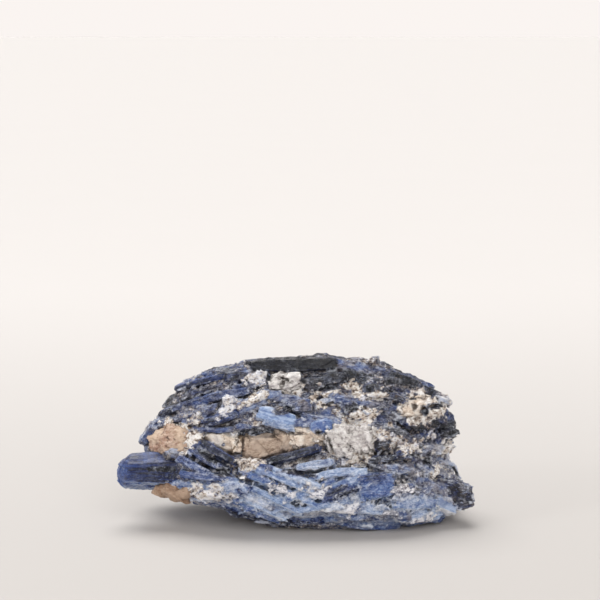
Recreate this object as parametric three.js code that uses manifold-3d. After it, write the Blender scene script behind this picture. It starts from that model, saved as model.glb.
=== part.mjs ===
// Kyanite blade cluster: a hand-sized mass of intergrown kyanite blades with
// grains of feldspar and quartz lodged between them. Millimetres, +Z up.
// The origin is the middle of the footprint, at the height of the lowest point.
import * as THREE from 'three';
import { mergeVertices } from 'three/addons/utils/BufferGeometryUtils.js';
import Module from 'manifold-3d';

const wasm = await Module();
wasm.setup();

// ---- driving dimensions, mm
const LENGTH = 110;          // nominal, along X from the long left blade to the right tail; the blades come to 107.6
const HEIGHT = 50;           // nominal, floor to the top blade; the blades come to 49.6
const GAP = 0.45;            // clearance between a grain and the pocket it sits in
const CORE_INSET = 2.6;      // how far the blades stand proud of the solid middle
const CORE_SIDES = 18;       // sides of the solid middle
const PLAN_POWER = 2.6;      // roundness of the plan outline

// Outline of the mass by height: left and right ends, front and back depth.
const LEVEL = [0, 4, 8, 12, 16, 20, 24, 28, 32, 36, 40, 44, 47.5, 50.5];
const LEFT = [-15, -22, -36, -43, -45, -45, -45, -44.5, -40, -37.5, -35, -29, -13, 6];
const RIGHT = [43, 49, 51, 50, 47, 46.5, 47.5, 48.5, 46.5, 47, 42, 33, 24, 17];
const FRONT = [17, 22, 25, 26, 25.5, 24, 22, 20, 17.5, 15, 12, 8.5, 4.5, 1.5];
const BACK = [20, 24, 27, 29, 29, 28, 27, 25, 23, 20, 17, 12.5, 8, 4];

// Moves the mass so that the origin is the middle of its box.
const TO_ORIGIN = [-0.1088, -1.7112];

// Broken faces at the back: face normal, and distance from the middle of the base.
const BREAKS = [[-0.5003, 0.8004, 0.3302, 36.4], [0.7497, 0.5997, 0.2799, 44.8], [-0.0499, 0.799, 0.5993, 33.9]];
// The lens-shaped hollow across the front: centre, half sizes and turn about Y.
const HOLLOW = { at: [-9.2, -21.5, 25.6], half: [19, 6.2, 4.3], turn: 0.03 };

// One blade a row: centre, long axis, face normal, half length, half width,
// half thickness, taper at each end, slant of each end, steps along its length,
// and how much of the width its broad faces take.
const BLADES = [
  [-21.22, 0.56, 42.64, 0.968, -0.022, 0.248, -0.14, -0.872, 0.469, 9.18, 1.61, 5, 0.75, 0.75, 0.4, 0, 1, 0.72],
  [-26.51, -0.78, 41.49, 0.893, -0.359, 0.271, -0.383, -0.923, 0.035, 9.46, 1.28, 5, 0.9, 0.7, 0.3, 0, 1, 0.72],
  [-27.03, -4.34, 38.61, 0.928, -0.208, 0.31, -0.272, -0.946, 0.179, 7.7, 1.21, 4.5, 0.75, 0.75, 0, 0, 1, 0.72],
  [-23.77, -5.67, 37.21, 0.949, -0.167, 0.267, -0.212, -0.965, 0.153, 12.61, 1.65, 5, 0.75, 0.75, 0.5, 0, 1, 0.72],
  [-34.66, -6.44, 30.87, 0.857, -0.423, 0.296, -0.454, -0.89, 0.04, 7.09, 1.2, 4, 0.75, 0.75, 0.3, 0, 1, 0.72],
  [-20.1, -13.39, 29.76, 0.99, -0.129, 0.06, -0.137, -0.976, 0.167, 8.54, 1.2, 4, 0.75, 0.75, 0, 0, 1, 0.72],
  [-4.89, -15.51, 33.23, 0.959, -0.185, -0.213, -0.088, -0.914, 0.396, 6.5, 2.78, 2.5, 0.75, 0.75, 0, 0, 1, 0.72],
  [8.4, -13.73, 32.09, 0.974, -0.105, -0.2, -0.048, -0.962, 0.269, 6.69, 1.81, 3.5, 0.75, 0.75, 0, 0, 1, 0.72],
  [0.16, 0.61, 45.83, 0.999, 0.007, 0.052, -0.005, -0.97, 0.242, 14.02, 2.56, 6.5, 0.85, 0.8, -0.5, 0.2, 2, 0.72],
  [4.05, 1.94, 44.23, 0.999, -0.007, 0.046, -0.038, -0.707, 0.706, 13.35, 1.69, 6, 0.75, 0.75, -0.4, 0.2, 1, 0.72],
  [17.07, 0.07, 43.04, 0.981, -0.047, -0.188, 0.106, -0.678, 0.727, 8.43, 2.72, 6, 0.75, 0.75, 0, 0, 1, 0.72],
  [23.89, -8.31, 39.51, 0.982, -0.052, -0.183, 0.014, -0.941, 0.34, 3.87, 2.76, 3.5, 0.75, 0.75, 0, 0, 1, 0.72],
  [38.57, -0.64, 36.72, 0.856, 0.254, -0.451, 0.451, -0.792, 0.411, 7.09, 2.17, 5, 0.75, 0.75, 0, 0, 1, 0.72],
  [35.25, -5.6, 37.67, 0.948, 0.067, -0.312, 0.163, -0.942, 0.293, 7.49, 1.53, 3.5, 0.75, 0.75, 0, 0, 1, 0.72],
  [25.8, -10.56, 34.91, 0.977, 0.012, -0.212, 0.075, -0.953, 0.294, 8.52, 1.98, 3.5, 0.75, 0.75, 0, 0, 1, 0.72],
  [22.95, -12.82, 32.13, 0.981, 0.028, -0.193, 0.076, -0.967, 0.245, 7.13, 1.81, 3.5, 0.75, 0.75, 0, 0, 1, 0.72],
  [37.91, -6.27, 28.25, 0.806, 0.587, -0.077, 0.564, -0.721, 0.403, 10.56, 2.32, 6, 0.7, 0.9, 0, 0, 1, 0.72],
  [37.34, -8.37, 26.25, 0.779, 0.613, -0.13, 0.617, -0.787, -0.014, 9.95, 2.56, 5.5, 0.7, 0.85, 0, 0, 1, 0.72],
  [41.36, -8.72, 23.49, 0.687, 0.714, -0.135, 0.672, -0.695, -0.254, 7.43, 1.69, 4, 0.75, 0.75, 0, 0, 1, 0.72],
  [27.76, -14.21, 29.07, 0.953, 0.029, -0.301, 0.101, -0.968, 0.228, 7.02, 1.81, 3.5, 0.75, 0.75, 0, 0, 1, 0.72],
  [34.44, -13.18, 22.95, 0.84, 0.407, -0.36, 0.483, -0.863, 0.15, 9.33, 1.52, 3.5, 0.75, 0.75, 0, 0, 1, 0.72],
  [36.35, -12.99, 18.81, 0.784, 0.449, -0.428, 0.541, -0.832, 0.12, 10.48, 1.53, 3.5, 0.75, 0.75, 0, 0, 1, 0.72],
  [-38.04, -10.57, 16.47, 0.997, -0.066, 0.029, -0.069, -0.988, 0.138, 15.18, 6.15, 6, 0.9, 0.9, 0.08, 0, 2, 0.45],
  [-29.5, -15.97, 14.42, 0.868, -0.497, 0.024, -0.486, -0.857, -0.173, 9.66, 1.87, 4, 0.75, 0.75, 0, 0, 1, 0.72],
  [-25.92, -19.54, 17.11, 0.95, -0.311, -0.029, -0.303, -0.94, 0.155, 7.39, 1.5, 4, 0.75, 0.75, 0, 0, 1, 0.72],
  [-28.96, -13.84, 25.15, 0.785, -0.496, -0.371, -0.326, -0.84, 0.434, 6.85, 1.66, 4, 0.75, 0.75, 0, 0, 1, 0.72],
  [-28.45, -17.89, 18.89, 0.859, -0.421, -0.292, -0.266, -0.853, 0.449, 6.88, 1.53, 4, 0.75, 0.75, 0, 0, 1, 0.72],
  [12.9, -21.91, 17.88, 0.991, 0.108, 0.085, 0.067, -0.922, 0.381, 9.29, 1.7, 4, 0.75, 0.75, 0, 0, 1, 0.72],
  [23.51, -21.2, 14.42, 0.977, 0.209, 0.045, 0.194, -0.956, 0.221, 6.23, 4.51, 4.5, 0.85, 0.85, 0, 0, 1, 0.72],
  [-9.18, -21.9, 12.25, 0.897, -0.038, -0.44, 0.069, -0.972, 0.226, 13.12, 1.36, 3.5, 0.75, 0.75, 0, 0, 1, 0.72],
  [-4.51, -23.05, 14.05, 0.915, -0.074, -0.397, 0.048, -0.956, 0.289, 13.47, 1.37, 3.5, 0.75, 0.75, 0, 0, 1, 0.72],
  [-11.25, -20.45, 9.44, 0.87, 0.147, -0.471, 0.166, -0.986, -0.001, 11.55, 1.35, 3.5, 0.75, 0.75, 0, 0, 1, 0.72],
  [0.44, -23.72, 16.94, 0.951, -0.107, -0.289, 0.024, -0.909, 0.415, 8.42, 1.41, 3.5, 0.75, 0.75, 0, 0, 1, 0.72],
  [-11.16, -19.26, 7.79, 0.833, 0.291, -0.47, 0.214, -0.954, -0.211, 8.95, 1.38, 3.5, 0.75, 0.75, 0, 0, 1, 0.72],
  [4.67, -23.31, 13.97, 0.931, 0.058, 0.36, -0.035, -0.969, 0.246, 8.62, 1.36, 3.5, 0.75, 0.75, 0, 0, 1, 0.72],
  [7.94, -23.22, 9.58, 0.977, -0.055, 0.207, -0.071, -0.995, 0.072, 9.1, 1.5, 3.5, 0.75, 0.75, 0, 0, 1, 0.72],
  [14, -23.12, 8.98, 0.983, 0.093, -0.161, 0.092, -0.996, -0.015, 6.44, 1.82, 3.5, 0.75, 0.75, 0, 0, 1, 0.72],
  [-1.97, -14.68, 4.71, 0.956, -0.294, 0.013, -0.266, -0.88, -0.392, 12.22, 1.9, 4, 0.75, 0.75, 0, 0, 1, 0.72],
  [35.96, -14.96, 5.02, 0.875, 0.483, -0.039, 0.482, -0.876, -0.022, 7.25, 3.03, 4.5, 0.85, 0.7, 0, 0, 1, 0.72],
  [-23.86, -17.64, 12.61, 0.813, -0.518, 0.265, -0.426, -0.841, -0.335, 7.34, 2.97, 4, 0.75, 0.75, 0, 0, 1, 0.72],
  [19.72, -14.74, 3.18, 0.94, 0.286, -0.184, 0.221, -0.925, -0.309, 12.23, 1.78, 4.5, 0.75, 0.75, 0, 0, 1, 0.72],
  [29.44, -12.02, 3.54, 0.93, 0.357, -0.082, 0.308, -0.883, -0.353, 15.1, 1.66, 4.5, 0.75, 0.75, 0, 0, 2, 0.72],
  [21.45, -20.87, 8.3, 0.969, 0.182, -0.165, 0.179, -0.983, -0.031, 9.88, 1.67, 4, 0.75, 0.75, 0, 0, 1, 0.72],
  [33.79, -18.52, 8.67, 0.928, 0.365, -0.071, 0.371, -0.92, 0.122, 7.67, 1.95, 4, 0.75, 0.75, 0, 0, 1, 0.72],
  [40.3, -13.14, 7.53, 0.859, 0.255, -0.443, 0.413, -0.857, 0.308, 7.85, 2.06, 4.5, 0.75, 0.75, 0, 0, 1, 0.72],
  [44.93, -8.02, 8.95, 0.974, 0.129, -0.186, 0.187, -0.919, 0.346, 7.77, 4.79, 6.5, 0.85, 0.72, 0, 0, 1, 0.72],
  [38.59, -13.81, 12.36, 0.812, 0.44, -0.385, 0.55, -0.797, 0.25, 6.37, 1.88, 4.5, 0.75, 0.75, 0, 0, 1, 0.72],
  [-21.12, 4.15, 6.06, 0.937, 0.133, -0.323, -0.332, 0.051, -0.942, 16.67, 4.23, 3.65, 0.75, 0.75, -0.448, -0.044, 1, 0.72],
  [-4.72, 20.37, 6.11, 0.986, 0.118, -0.121, -0.168, 0.635, -0.754, 16.03, 3.19, 3.87, 0.75, 0.75, 0.29, 0.454, 1, 0.72],
  [15.44, 22.25, 5.02, 0.998, 0.026, 0.059, 0.008, 0.863, -0.506, 16.88, 4.64, 3.2, 0.75, 0.75, 0.024, 0.137, 1, 0.72],
  [32.82, 20.08, 5.02, 0.908, -0.336, -0.25, 0.181, 0.854, -0.489, 16.78, 4.01, 3.58, 0.75, 0.75, -0.336, -0.436, 1, 0.72],
  [-28.37, 19.44, 11.98, 0.905, 0.4, -0.144, -0.425, 0.856, -0.293, 15.15, 5.22, 3.89, 0.75, 0.75, -0.209, 0.076, 1, 0.72],
  [-15.24, 25.15, 12.42, 0.992, 0.097, -0.081, -0.126, 0.81, -0.572, 13.25, 4.85, 3.41, 0.75, 0.75, -0.222, 0.421, 1, 0.72],
  [5.91, 26.81, 11.78, 0.992, -0.051, -0.119, -0.007, 0.897, -0.443, 17.53, 3.91, 3.27, 0.75, 0.75, -0.308, 0.165, 1, 0.72],
  [16.52, 25.88, 12.23, 0.981, -0.146, -0.131, 0.056, 0.846, -0.531, 13.99, 3.6, 3.11, 0.75, 0.75, 0.288, -0.006, 1, 0.72],
  [35.91, 20.11, 10.79, 0.745, -0.608, -0.275, 0.65, 0.754, 0.095, 13.66, 4.83, 3.44, 0.75, 0.75, 0.016, 0.277, 1, 0.72],
  [-28.8, 15.47, 16.74, 0.905, 0.361, 0.225, -0.418, 0.855, 0.307, 16.15, 3.8, 3.92, 0.75, 0.75, 0.124, -0.131, 1, 0.72],
  [-14.28, 25.31, 17.22, 0.974, 0.025, 0.228, -0.093, 0.952, 0.292, 12.71, 3.62, 3.81, 0.75, 0.75, -0.468, -0.355, 1, 0.72],
  [-0.56, 26.19, 17.9, 0.998, -0.014, -0.06, 0.016, 0.999, 0.045, 12.3, 3.95, 3.4, 0.75, 0.75, -0.244, 0.194, 1, 0.72],
  [20.45, 24.19, 17.24, 0.954, -0.079, -0.288, 0.153, 0.958, 0.244, 13.26, 3.81, 3.04, 0.75, 0.75, 0.487, -0.345, 1, 0.72],
  [36.07, 13.23, 18.16, 0.726, -0.617, -0.305, 0.68, 0.708, 0.189, 11.97, 2.86, 3.37, 0.75, 0.75, -0.3, 0.123, 1, 0.72],
  [-33.4, 10.18, 23.95, 0.873, 0.36, 0.329, -0.456, 0.842, 0.289, 13.02, 3.48, 3.84, 0.75, 0.75, -0.225, 0.126, 1, 0.72],
  [-17.36, 19.03, 22.97, 0.98, -0.042, 0.197, -0.062, 0.866, 0.496, 16.42, 2.91, 3.94, 0.75, 0.75, 0.027, 0.368, 1, 0.72],
  [3.63, 21.19, 22.35, 0.986, -0.062, 0.152, -0.063, 0.713, 0.699, 15.69, 3.34, 3.77, 0.75, 0.75, 0.441, 0.034, 1, 0.72],
  [18.53, 22.67, 22.84, 0.942, 0.235, -0.239, 0.003, 0.707, 0.707, 17.29, 2.92, 3.68, 0.75, 0.75, 0.282, 0.378, 1, 0.72],
  [38.1, 10.46, 24.12, 0.684, -0.438, -0.583, 0.673, 0.687, 0.273, 11.76, 4.79, 3.34, 0.75, 0.75, 0.239, -0.289, 1, 0.72],
  [-24.61, 14.27, 30.89, 0.836, 0.159, 0.525, -0.429, 0.785, 0.447, 16.09, 3.38, 3.76, 0.75, 0.75, -0.488, -0.351, 1, 0.72],
  [-9.76, 16, 30.84, 0.963, -0.094, 0.255, -0.061, 0.839, 0.541, 13.43, 5.07, 3.38, 0.75, 0.75, -0.344, -0.256, 1, 0.72],
  [13.25, 17.14, 30.39, 0.998, 0.046, 0.037, -0.059, 0.794, 0.605, 17.04, 3.11, 3.73, 0.75, 0.75, -0.426, 0.267, 1, 0.72],
  [34.26, 14.29, 31.27, 0.72, -0.426, -0.548, 0.674, 0.618, 0.404, 13.08, 4.48, 3.36, 0.75, 0.75, 0.394, -0.328, 1, 0.72],
  [-30.08, 5.98, 36.82, 0.73, 0.49, 0.477, -0.684, 0.509, 0.523, 9.91, 3.5, 3.09, 0.75, 0.75, -0.36, 0.437, 1, 0.72],
  [-8.25, 10.66, 37.3, 0.977, -0.106, 0.187, -0.042, 0.76, 0.649, 14.29, 4.66, 3.07, 0.75, 0.75, 0.484, 0.174, 1, 0.72],
  [18.63, 11.85, 37.31, 0.998, 0.055, -0.025, -0.031, 0.826, 0.564, 13.93, 4.22, 3.81, 0.75, 0.75, 0.457, 0.251, 1, 0.72],
  [32.68, 10.46, 36.57, 0.739, -0.564, -0.368, 0.669, 0.68, 0.301, 10.68, 5.22, 3.2, 0.75, 0.75, -0.205, 0.318, 1, 0.72],
  [-20.2, 3.11, 41.06, 0.971, 0.147, 0.189, -0.201, 0.069, 0.977, 11.27, 5.19, 3.51, 0.75, 0.75, -0.226, 0.382, 1, 0.72],
  [-1.9, 7.08, 42.61, 0.962, -0.123, 0.245, -0.082, 0.724, 0.685, 13.76, 3.48, 3.28, 0.75, 0.75, 0.438, 0.03, 1, 0.72],
  [28.04, 2.83, 41.6, 0.949, -0.043, -0.313, 0.316, 0.134, 0.939, 13.44, 4.42, 3.05, 0.75, 0.75, 0.126, -0.421, 1, 0.72],
  [-22.7, 6.92, 39.29, 0.975, -0.071, 0.209, -0.07, 0.801, 0.595, 11.17, 4.5, 3, 0.75, 0.75, 0.341, 0.306, 1, 0.72],
  [-17.82, 9.92, 37.45, 0.983, -0.046, 0.176, -0.069, 0.8, 0.596, 12, 3.5, 3, 0.75, 0.75, 0.38, 0.417, 1, 0.72],
  [-5.84, 5.52, 43.54, 0.99, -0.042, 0.139, -0.05, 0.799, 0.599, 15, 4, 3.5, 0.75, 0.75, -0.155, 0.128, 1, 0.72],
  [4.2, 5.53, 43.99, 0.993, 0.117, -0.032, -0.074, 0.796, 0.6, 13.79, 4.5, 3.5, 0.75, 0.75, 0.321, 0.139, 1, 0.72],
  [13.84, 5.29, 43.75, 0.987, 0.053, -0.155, 0.082, 0.659, 0.748, 12.23, 4, 3, 0.75, 0.75, 0.398, -0.298, 1, 0.72],
  [20.94, 6.67, 43.22, 0.955, 0.109, -0.277, 0.186, 0.51, 0.84, 11.64, 4, 3, 0.75, 0.75, -0.394, 0.329, 1, 0.72],
  [30.21, 7.03, 40.18, 0.938, 0.006, -0.346, 0.319, 0.372, 0.872, 10.51, 4, 3, 0.75, 0.75, -0.482, -0.219, 1, 0.72],
  [34.23, 8.87, 37.88, 0.902, 0.112, -0.417, 0.333, 0.433, 0.837, 9.55, 4, 3, 0.75, 0.75, -0.079, -0.408, 1, 0.72],
  [-1.85, 10.92, 37.44, 0.998, 0.04, 0.043, -0.058, 0.799, 0.599, 13, 4, 3, 0.75, 0.75, -0.017, 0.034, 1, 0.72],
  [12.09, 11.92, 37.35, 0.99, 0.109, -0.088, -0.035, 0.801, 0.598, 12, 4, 3, 0.75, 0.75, -0.271, 0.396, 1, 0.72],
  [-28.84, 9.87, 34.65, 0.836, 0.235, 0.496, -0.446, 0.818, 0.364, 10, 4, 3, 0.75, 0.75, -0.094, -0.081, 1, 0.72],
  [-39.82, 5.77, 24.34, 0.515, -0.112, 0.85, -0.824, 0.206, 0.527, 7.42, 4, 3.5, 0.75, 0.75, 0.086, 0.112, 1, 0.72],
  [-36.95, 11.96, 17.03, 0.88, 0.313, 0.358, -0.439, 0.825, 0.356, 10, 4.5, 3.5, 0.75, 0.75, 0.146, 0.155, 1, 0.72],
  [-25.39, 14.94, 29.21, 0.867, 0.239, 0.436, -0.417, 0.828, 0.375, 9, 4, 3, 0.75, 0.75, 0.444, 0.291, 1, 0.72],
  [-31.08, 8.14, 33.72, 0.869, 0.246, 0.429, -0.419, 0.828, 0.373, 7.53, 3.5, 3, 0.75, 0.75, 0.087, -0.147, 1, 0.72],
  [-34.02, 15.28, 12.37, 0.945, 0.212, -0.251, -0.316, 0.381, -0.869, 10, 4.5, 3.5, 0.75, 0.75, 0.091, -0.255, 1, 0.72],
  [-22.47, 18.4, 22.82, 0.864, 0.163, 0.476, -0.379, 0.833, 0.404, 11, 4, 3.5, 0.75, 0.75, 0.219, 0.34, 1, 0.72],
  [-39.83, 4.25, 14.36, 0.548, -0.767, -0.334, -0.588, -0.069, -0.806, 7.53, 4, 3.5, 0.75, 0.75, -0.381, -0.333, 1, 0.72],
  [40.8, 4.4, 24.74, 0.706, -0.149, -0.692, 0.594, 0.657, 0.465, 7.09, 4, 3.5, 0.75, 0.75, 0.16, 0.18, 1, 0.72],
  [39.3, 13.14, 17.21, 0.694, -0.4, -0.598, 0.675, 0.649, 0.35, 9.85, 4.5, 3.5, 0.75, 0.75, 0.186, -0.498, 1, 0.72],
  [32.79, 16.78, 28.99, 0.682, -0.093, -0.726, 0.597, 0.644, 0.478, 9, 4, 3, 0.75, 0.75, 0.149, -0.339, 1, 0.72],
  [39.11, 6.09, 33.89, 0.716, -0.171, -0.677, 0.593, 0.662, 0.46, 7, 3.5, 3, 0.75, 0.75, 0.181, 0.391, 1, 0.72],
  [42.63, 8.62, 9.12, 0.593, 0.037, -0.804, 0.625, 0.609, 0.489, 9.59, 4.5, 3.5, 0.75, 0.75, 0.067, -0.481, 1, 0.72],
  [41.58, 3.55, 17.78, 0.187, 0.89, -0.415, 0.973, -0.11, 0.202, 8.22, 4, 3.5, 0.75, 0.75, -0.391, 0.421, 1, 0.72],
  [41.77, -6.59, 32.43, 0.721, 0.455, -0.523, 0.62, -0.761, 0.193, 6.89, 3.5, 3, 0.75, 0.75, 0.404, 0.459, 1, 0.72],
  [32.39, 21.91, 11.87, 0.924, -0.274, -0.266, 0.294, 0.955, 0.038, 11, 4.5, 3.5, 0.75, 0.75, -0.092, 0.459, 1, 0.72],
];

// The blades that stand up along the lower lip of the hollow.
const LIP_BLADES = [
  [-24.5, -17.94, 20.95, 0.826, -0.396, -0.402, -0.239, -0.891, 0.386, 7.83, 1.66, 4, 0.75, 0.75, 0, 0, 1, 0.72],
  [-21.55, -18.43, 23.42, 0.83, -0.358, -0.428, -0.201, -0.907, 0.37, 6.69, 1.36, 3.5, 0.75, 0.75, 0, 0, 1, 0.72],
  [-0.81, -20.22, 22.87, 0.965, 0.11, 0.24, 0.021, -0.938, 0.347, 9.98, 1.38, 3.5, 0.75, 0.75, 0, 0, 1, 0.72],
  [-0.99, -23.7, 15.5, 0.933, -0.1, -0.344, 0.022, -0.942, 0.334, 11.96, 1.38, 3.5, 0.75, 0.75, 0, 0, 1, 0.72],
];

// Grains of the other minerals, each in its own pocket. The rows read as above.
const GRAINS = [
  { name: 'feldspar_nodule_left', color: '#c19a86', row: [-34.74, -9.74, 24.71, 0.812, -0.546, 0.206, -0.574, -0.812, 0.109, 6.59, 5.41, 5, 0.7, 0.7, 0, 0, 2, 0.72] },
  { name: 'feldspar_wedge_left', color: '#cdbd9c', row: [-21.04, -14.71, 26.26, 0.908, -0.317, -0.274, -0.26, -0.939, 0.223, 6.94, 3.75, 3.5, 0.35, 0.95, 0, 0, 2, 0.72] },
  { name: 'feldspar_sliver', color: '#7d6650', row: [-16.52, -17.38, 26.13, -0.531, -0.372, -0.761, 0.178, -0.927, 0.329, 4.03, 1.2, 2.5, 0.8, 0.8, 0, 0, 2, 0.72] },
  { name: 'feldspar_block_centre', color: '#bda17c', row: [-7.75, -16.64, 25.11, 0.998, -0.013, 0.059, -0.021, -0.99, 0.138, 7.81, 5.4, 4, 0.75, 0.95, 0, 0, 2, 0.72] },
  { name: 'feldspar_wedge_right', color: '#cdbd9c', row: [3.87, -16.62, 27.08, 0.995, 0.052, 0.09, 0.042, -0.993, 0.108, 5.81, 4.35, 3.5, 0.95, 0.4, 0, 0, 2, 0.72] },
  { name: 'feldspar_under_blade', color: '#b98a62', row: [-34.91, -13.89, 11.85, 0.911, -0.402, -0.086, -0.411, -0.892, -0.189, 8.2, 3.19, 4.5, 0.5, 0.85, 0, 0, 2, 0.72] },
  { name: 'quartz_patch_middle', color: '#d8d2c6', row: [16.06, -17.74, 26.91, 0.998, 0.059, -0.013, 0.06, -0.989, 0.139, 6.8, 4.65, 3.5, 0.85, 0.85, 0, 0, 2, 0.72] },
  { name: 'quartz_cell_top', color: '#cdbd9c', row: [-2.76, -7.57, 42.11, 0.997, 0.045, 0.059, 0.032, -0.977, 0.21, 4.4, 3.16, 3, 0.9, 0.9, 0, 0, 2, 0.72] },
  { name: 'feldspar_patch_right', color: '#cdbd9c', row: [36.58, -7.21, 34.06, 0.843, 0.516, -0.153, 0.538, -0.822, 0.19, 8.72, 4.07, 4, 0.8, 0.8, 0, 0, 2, 0.72] },
];

// ---- solids
const lerp = (z, table) => {
  let i = 0;
  while (i < LEVEL.length - 2 && z > LEVEL[i + 1]) i++;
  const t = Math.min(1, Math.max(0, (z - LEVEL[i]) / (LEVEL[i + 1] - LEVEL[i])));
  return table[i] + (table[i + 1] - table[i]) * t;
};

function solid(geometry) {
  const bare = geometry.clone();
  bare.deleteAttribute('normal');
  bare.deleteAttribute('uv');
  const g = mergeVertices(bare, 1e-4);
  return new wasm.Manifold(new wasm.Mesh({
    numProp: 3,
    vertProperties: new Float32Array(g.attributes.position.array),
    triVerts: new Uint32Array(g.index.array),
  }));
}

function geometryOf(manifold) {
  const m = manifold.getMesh();
  const g = new THREE.BufferGeometry();
  const n = m.numVert, p = new Float32Array(n * 3);
  for (let i = 0; i < n; i++)
    for (let k = 0; k < 3; k++) p[3 * i + k] = m.vertProperties[i * m.numProp + k] + (TO_ORIGIN[k] ?? 0);
  g.setAttribute('position', new THREE.BufferAttribute(p, 3));
  g.setIndex(new THREE.BufferAttribute(new Uint32Array(m.triVerts), 1));
  g.computeVertexNormals();
  return g;
}

// A blade: a flat six-sided prism that narrows to its slanted ends.
function blade(row, grow = 0) {
  const [cx, cy, cz, ax, ay, az, nx, ny, nz, L, W, T, tap0, tap1, sl0, sl1, steps, flat] = row;
  const w = W + grow, t = T + grow, l = L + grow;
  const outline = new THREE.Shape([
    new THREE.Vector2(w, -0.25 * t), new THREE.Vector2(flat * w, t), new THREE.Vector2(-flat * w, t),
    new THREE.Vector2(-w, 0.25 * t), new THREE.Vector2(-flat * w, -t), new THREE.Vector2(flat * w, -t),
  ]);
  const g = new THREE.ExtrudeGeometry(outline, { depth: 2 * l, steps, bevelEnabled: false });
  const a = new THREE.Vector3(ax, ay, az).normalize();
  const n = new THREE.Vector3(nx, ny, nz);
  n.addScaledVector(a, -n.dot(a)).normalize();
  const v = new THREE.Vector3().crossVectors(a, n);
  const p = g.attributes.position;
  const ends = steps > 1 ? [tap0, 1, tap1] : [(1 + tap0) / 2, (1 + tap0) / 2, (1 + tap1) / 2];
  for (let i = 0; i < p.count; i++) {
    const s = p.getZ(i) / (2 * l);                      // 0 to 1 along the blade
    const scale = steps > 1
      ? (s < 0.5 ? ends[0] + (1 - ends[0]) * s * 2 : 1 + (ends[2] - 1) * (s - 0.5) * 2)
      : ends[0] + (ends[2] - ends[0]) * s;
    const pv = p.getX(i) * scale, pw = p.getY(i) * scale;
    const slant = (s < 0.01 ? -sl0 : s > 0.99 ? sl1 : 0) * pv;
    const pu = p.getZ(i) - l + slant;
    p.setXYZ(i,
      cx + a.x * pu + v.x * pv + n.x * pw,
      cy + a.y * pu + v.y * pv + n.y * pw,
      cz + a.z * pu + v.z * pv + n.z * pw);
  }
  const made = solid(g);
  if (made.volume() > 0) return made;
  const idx = g.index;                                   // a left-handed frame: turn the faces round
  if (idx) for (let i = 0; i < idx.count; i += 3) { const k = idx.getX(i); idx.setX(i, idx.getX(i + 1)); idx.setX(i + 1, k); }
  else for (let i = 0; i < p.count; i += 3) for (const f of ['getX', 'getY', 'getZ']) {
    const s = f.replace('get', 'set'), k = p[f](i); p[s](i, p[f](i + 1)); p[s](i + 1, k);
  }
  return solid(g);
}

// The solid middle that the blades grow through, turned on the outline tables.
function middle() {
  const rows = LEVEL.map((z) => Math.min(z, HEIGHT - CORE_INSET));
  const profile = [new THREE.Vector2(0, -6), new THREE.Vector2(1, -6)];
  for (const z of rows.slice(1)) profile.push(new THREE.Vector2(1, z));
  profile.push(new THREE.Vector2(0, rows[rows.length - 1]));
  const g = new THREE.LatheGeometry(profile, CORE_SIDES);
  const p = g.attributes.position;
  for (let i = 0; i < p.count; i++) {
    const X = p.getX(i), Z = p.getZ(i), h = p.getY(i), r = Math.hypot(X, Z);
    const c = r > 0.5 ? X / r : 1, s = r > 0.5 ? Z / r : 0;
    const xl = lerp(h, LEFT), xr = lerp(h, RIGHT);
    const hx = Math.max((xr - xl) / 2 - CORE_INSET, 1);
    const hy = Math.max((s > 0 ? lerp(h, BACK) : lerp(h, FRONT)) - CORE_INSET, 1);
    const reach = r > 0.5 ? (Math.abs(c / hx) ** PLAN_POWER + Math.abs(s / hy) ** PLAN_POWER) ** (-1 / PLAN_POWER) : 0;
    p.setXYZ(i, (xl + xr) / 2 + c * reach, s * reach, h);
  }
  let m = solid(g);
  if (m.volume() <= 0) {
    const idx = g.index;
    for (let i = 0; i < idx.count; i += 3) { const k = idx.getX(i); idx.setX(i, idx.getX(i + 1)); idx.setX(i + 1, k); }
    m = solid(g);
  }
  return m;
}

function hollow() {
  const g = new THREE.SphereGeometry(1, 14, 8);
  g.scale(...HOLLOW.half);
  g.rotateY(HOLLOW.turn);
  g.translate(...HOLLOW.at);
  return solid(g);
}

// What lies beyond one broken face.
function beyond([x, y, z, reach]) {
  const g = new THREE.BoxGeometry(2 * LENGTH, 2 * LENGTH, 60);
  g.translate(0, 0, 30 + reach - CORE_INSET);
  const turn = new THREE.Quaternion().setFromUnitVectors(new THREE.Vector3(0, 0, 1), new THREE.Vector3(x, y, z));
  g.applyQuaternion(turn);
  return solid(g);
}

// The biggest part of a solid, so that no closed-in gap or crumb is left.
function outer(manifold) {
  const all = manifold.decompose();
  return all.reduce((best, m) => (m.volume() > best.volume() ? m : best), all[0]);
}

const grains = GRAINS.map((g) => blade(g.row));
const pockets = GRAINS.map((g) => blade(g.row, GAP));

let cluster = middle();
for (const face of BREAKS) cluster = cluster.subtract(beyond(face));
for (const row of BLADES) cluster = cluster.add(blade(row));
cluster = cluster.subtract(hollow());
for (const row of LIP_BLADES) cluster = cluster.add(blade(row));
for (const pocket of pockets) cluster = cluster.subtract(pocket);
const under = new THREE.BoxGeometry(3 * LENGTH, 3 * LENGTH, 40);
under.translate(0, 0, -20);
cluster = outer(cluster.subtract(solid(under)));

const part = new THREE.Group();
const mesh = (name, manifold, color, roughness) => {
  const m = new THREE.Mesh(geometryOf(manifold), new THREE.MeshStandardMaterial({ color, roughness, metalness: 0 }));
  m.name = name;
  part.add(m);
};
mesh('kyanite_cluster', cluster, '#4a5a88', 0.42);
GRAINS.forEach((g, i) => {
  let m = grains[i];
  for (let k = 0; k < i; k++) m = m.subtract(pockets[k]);
  mesh(g.name, outer(m), g.color, 0.65);
});

export default part;
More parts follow.
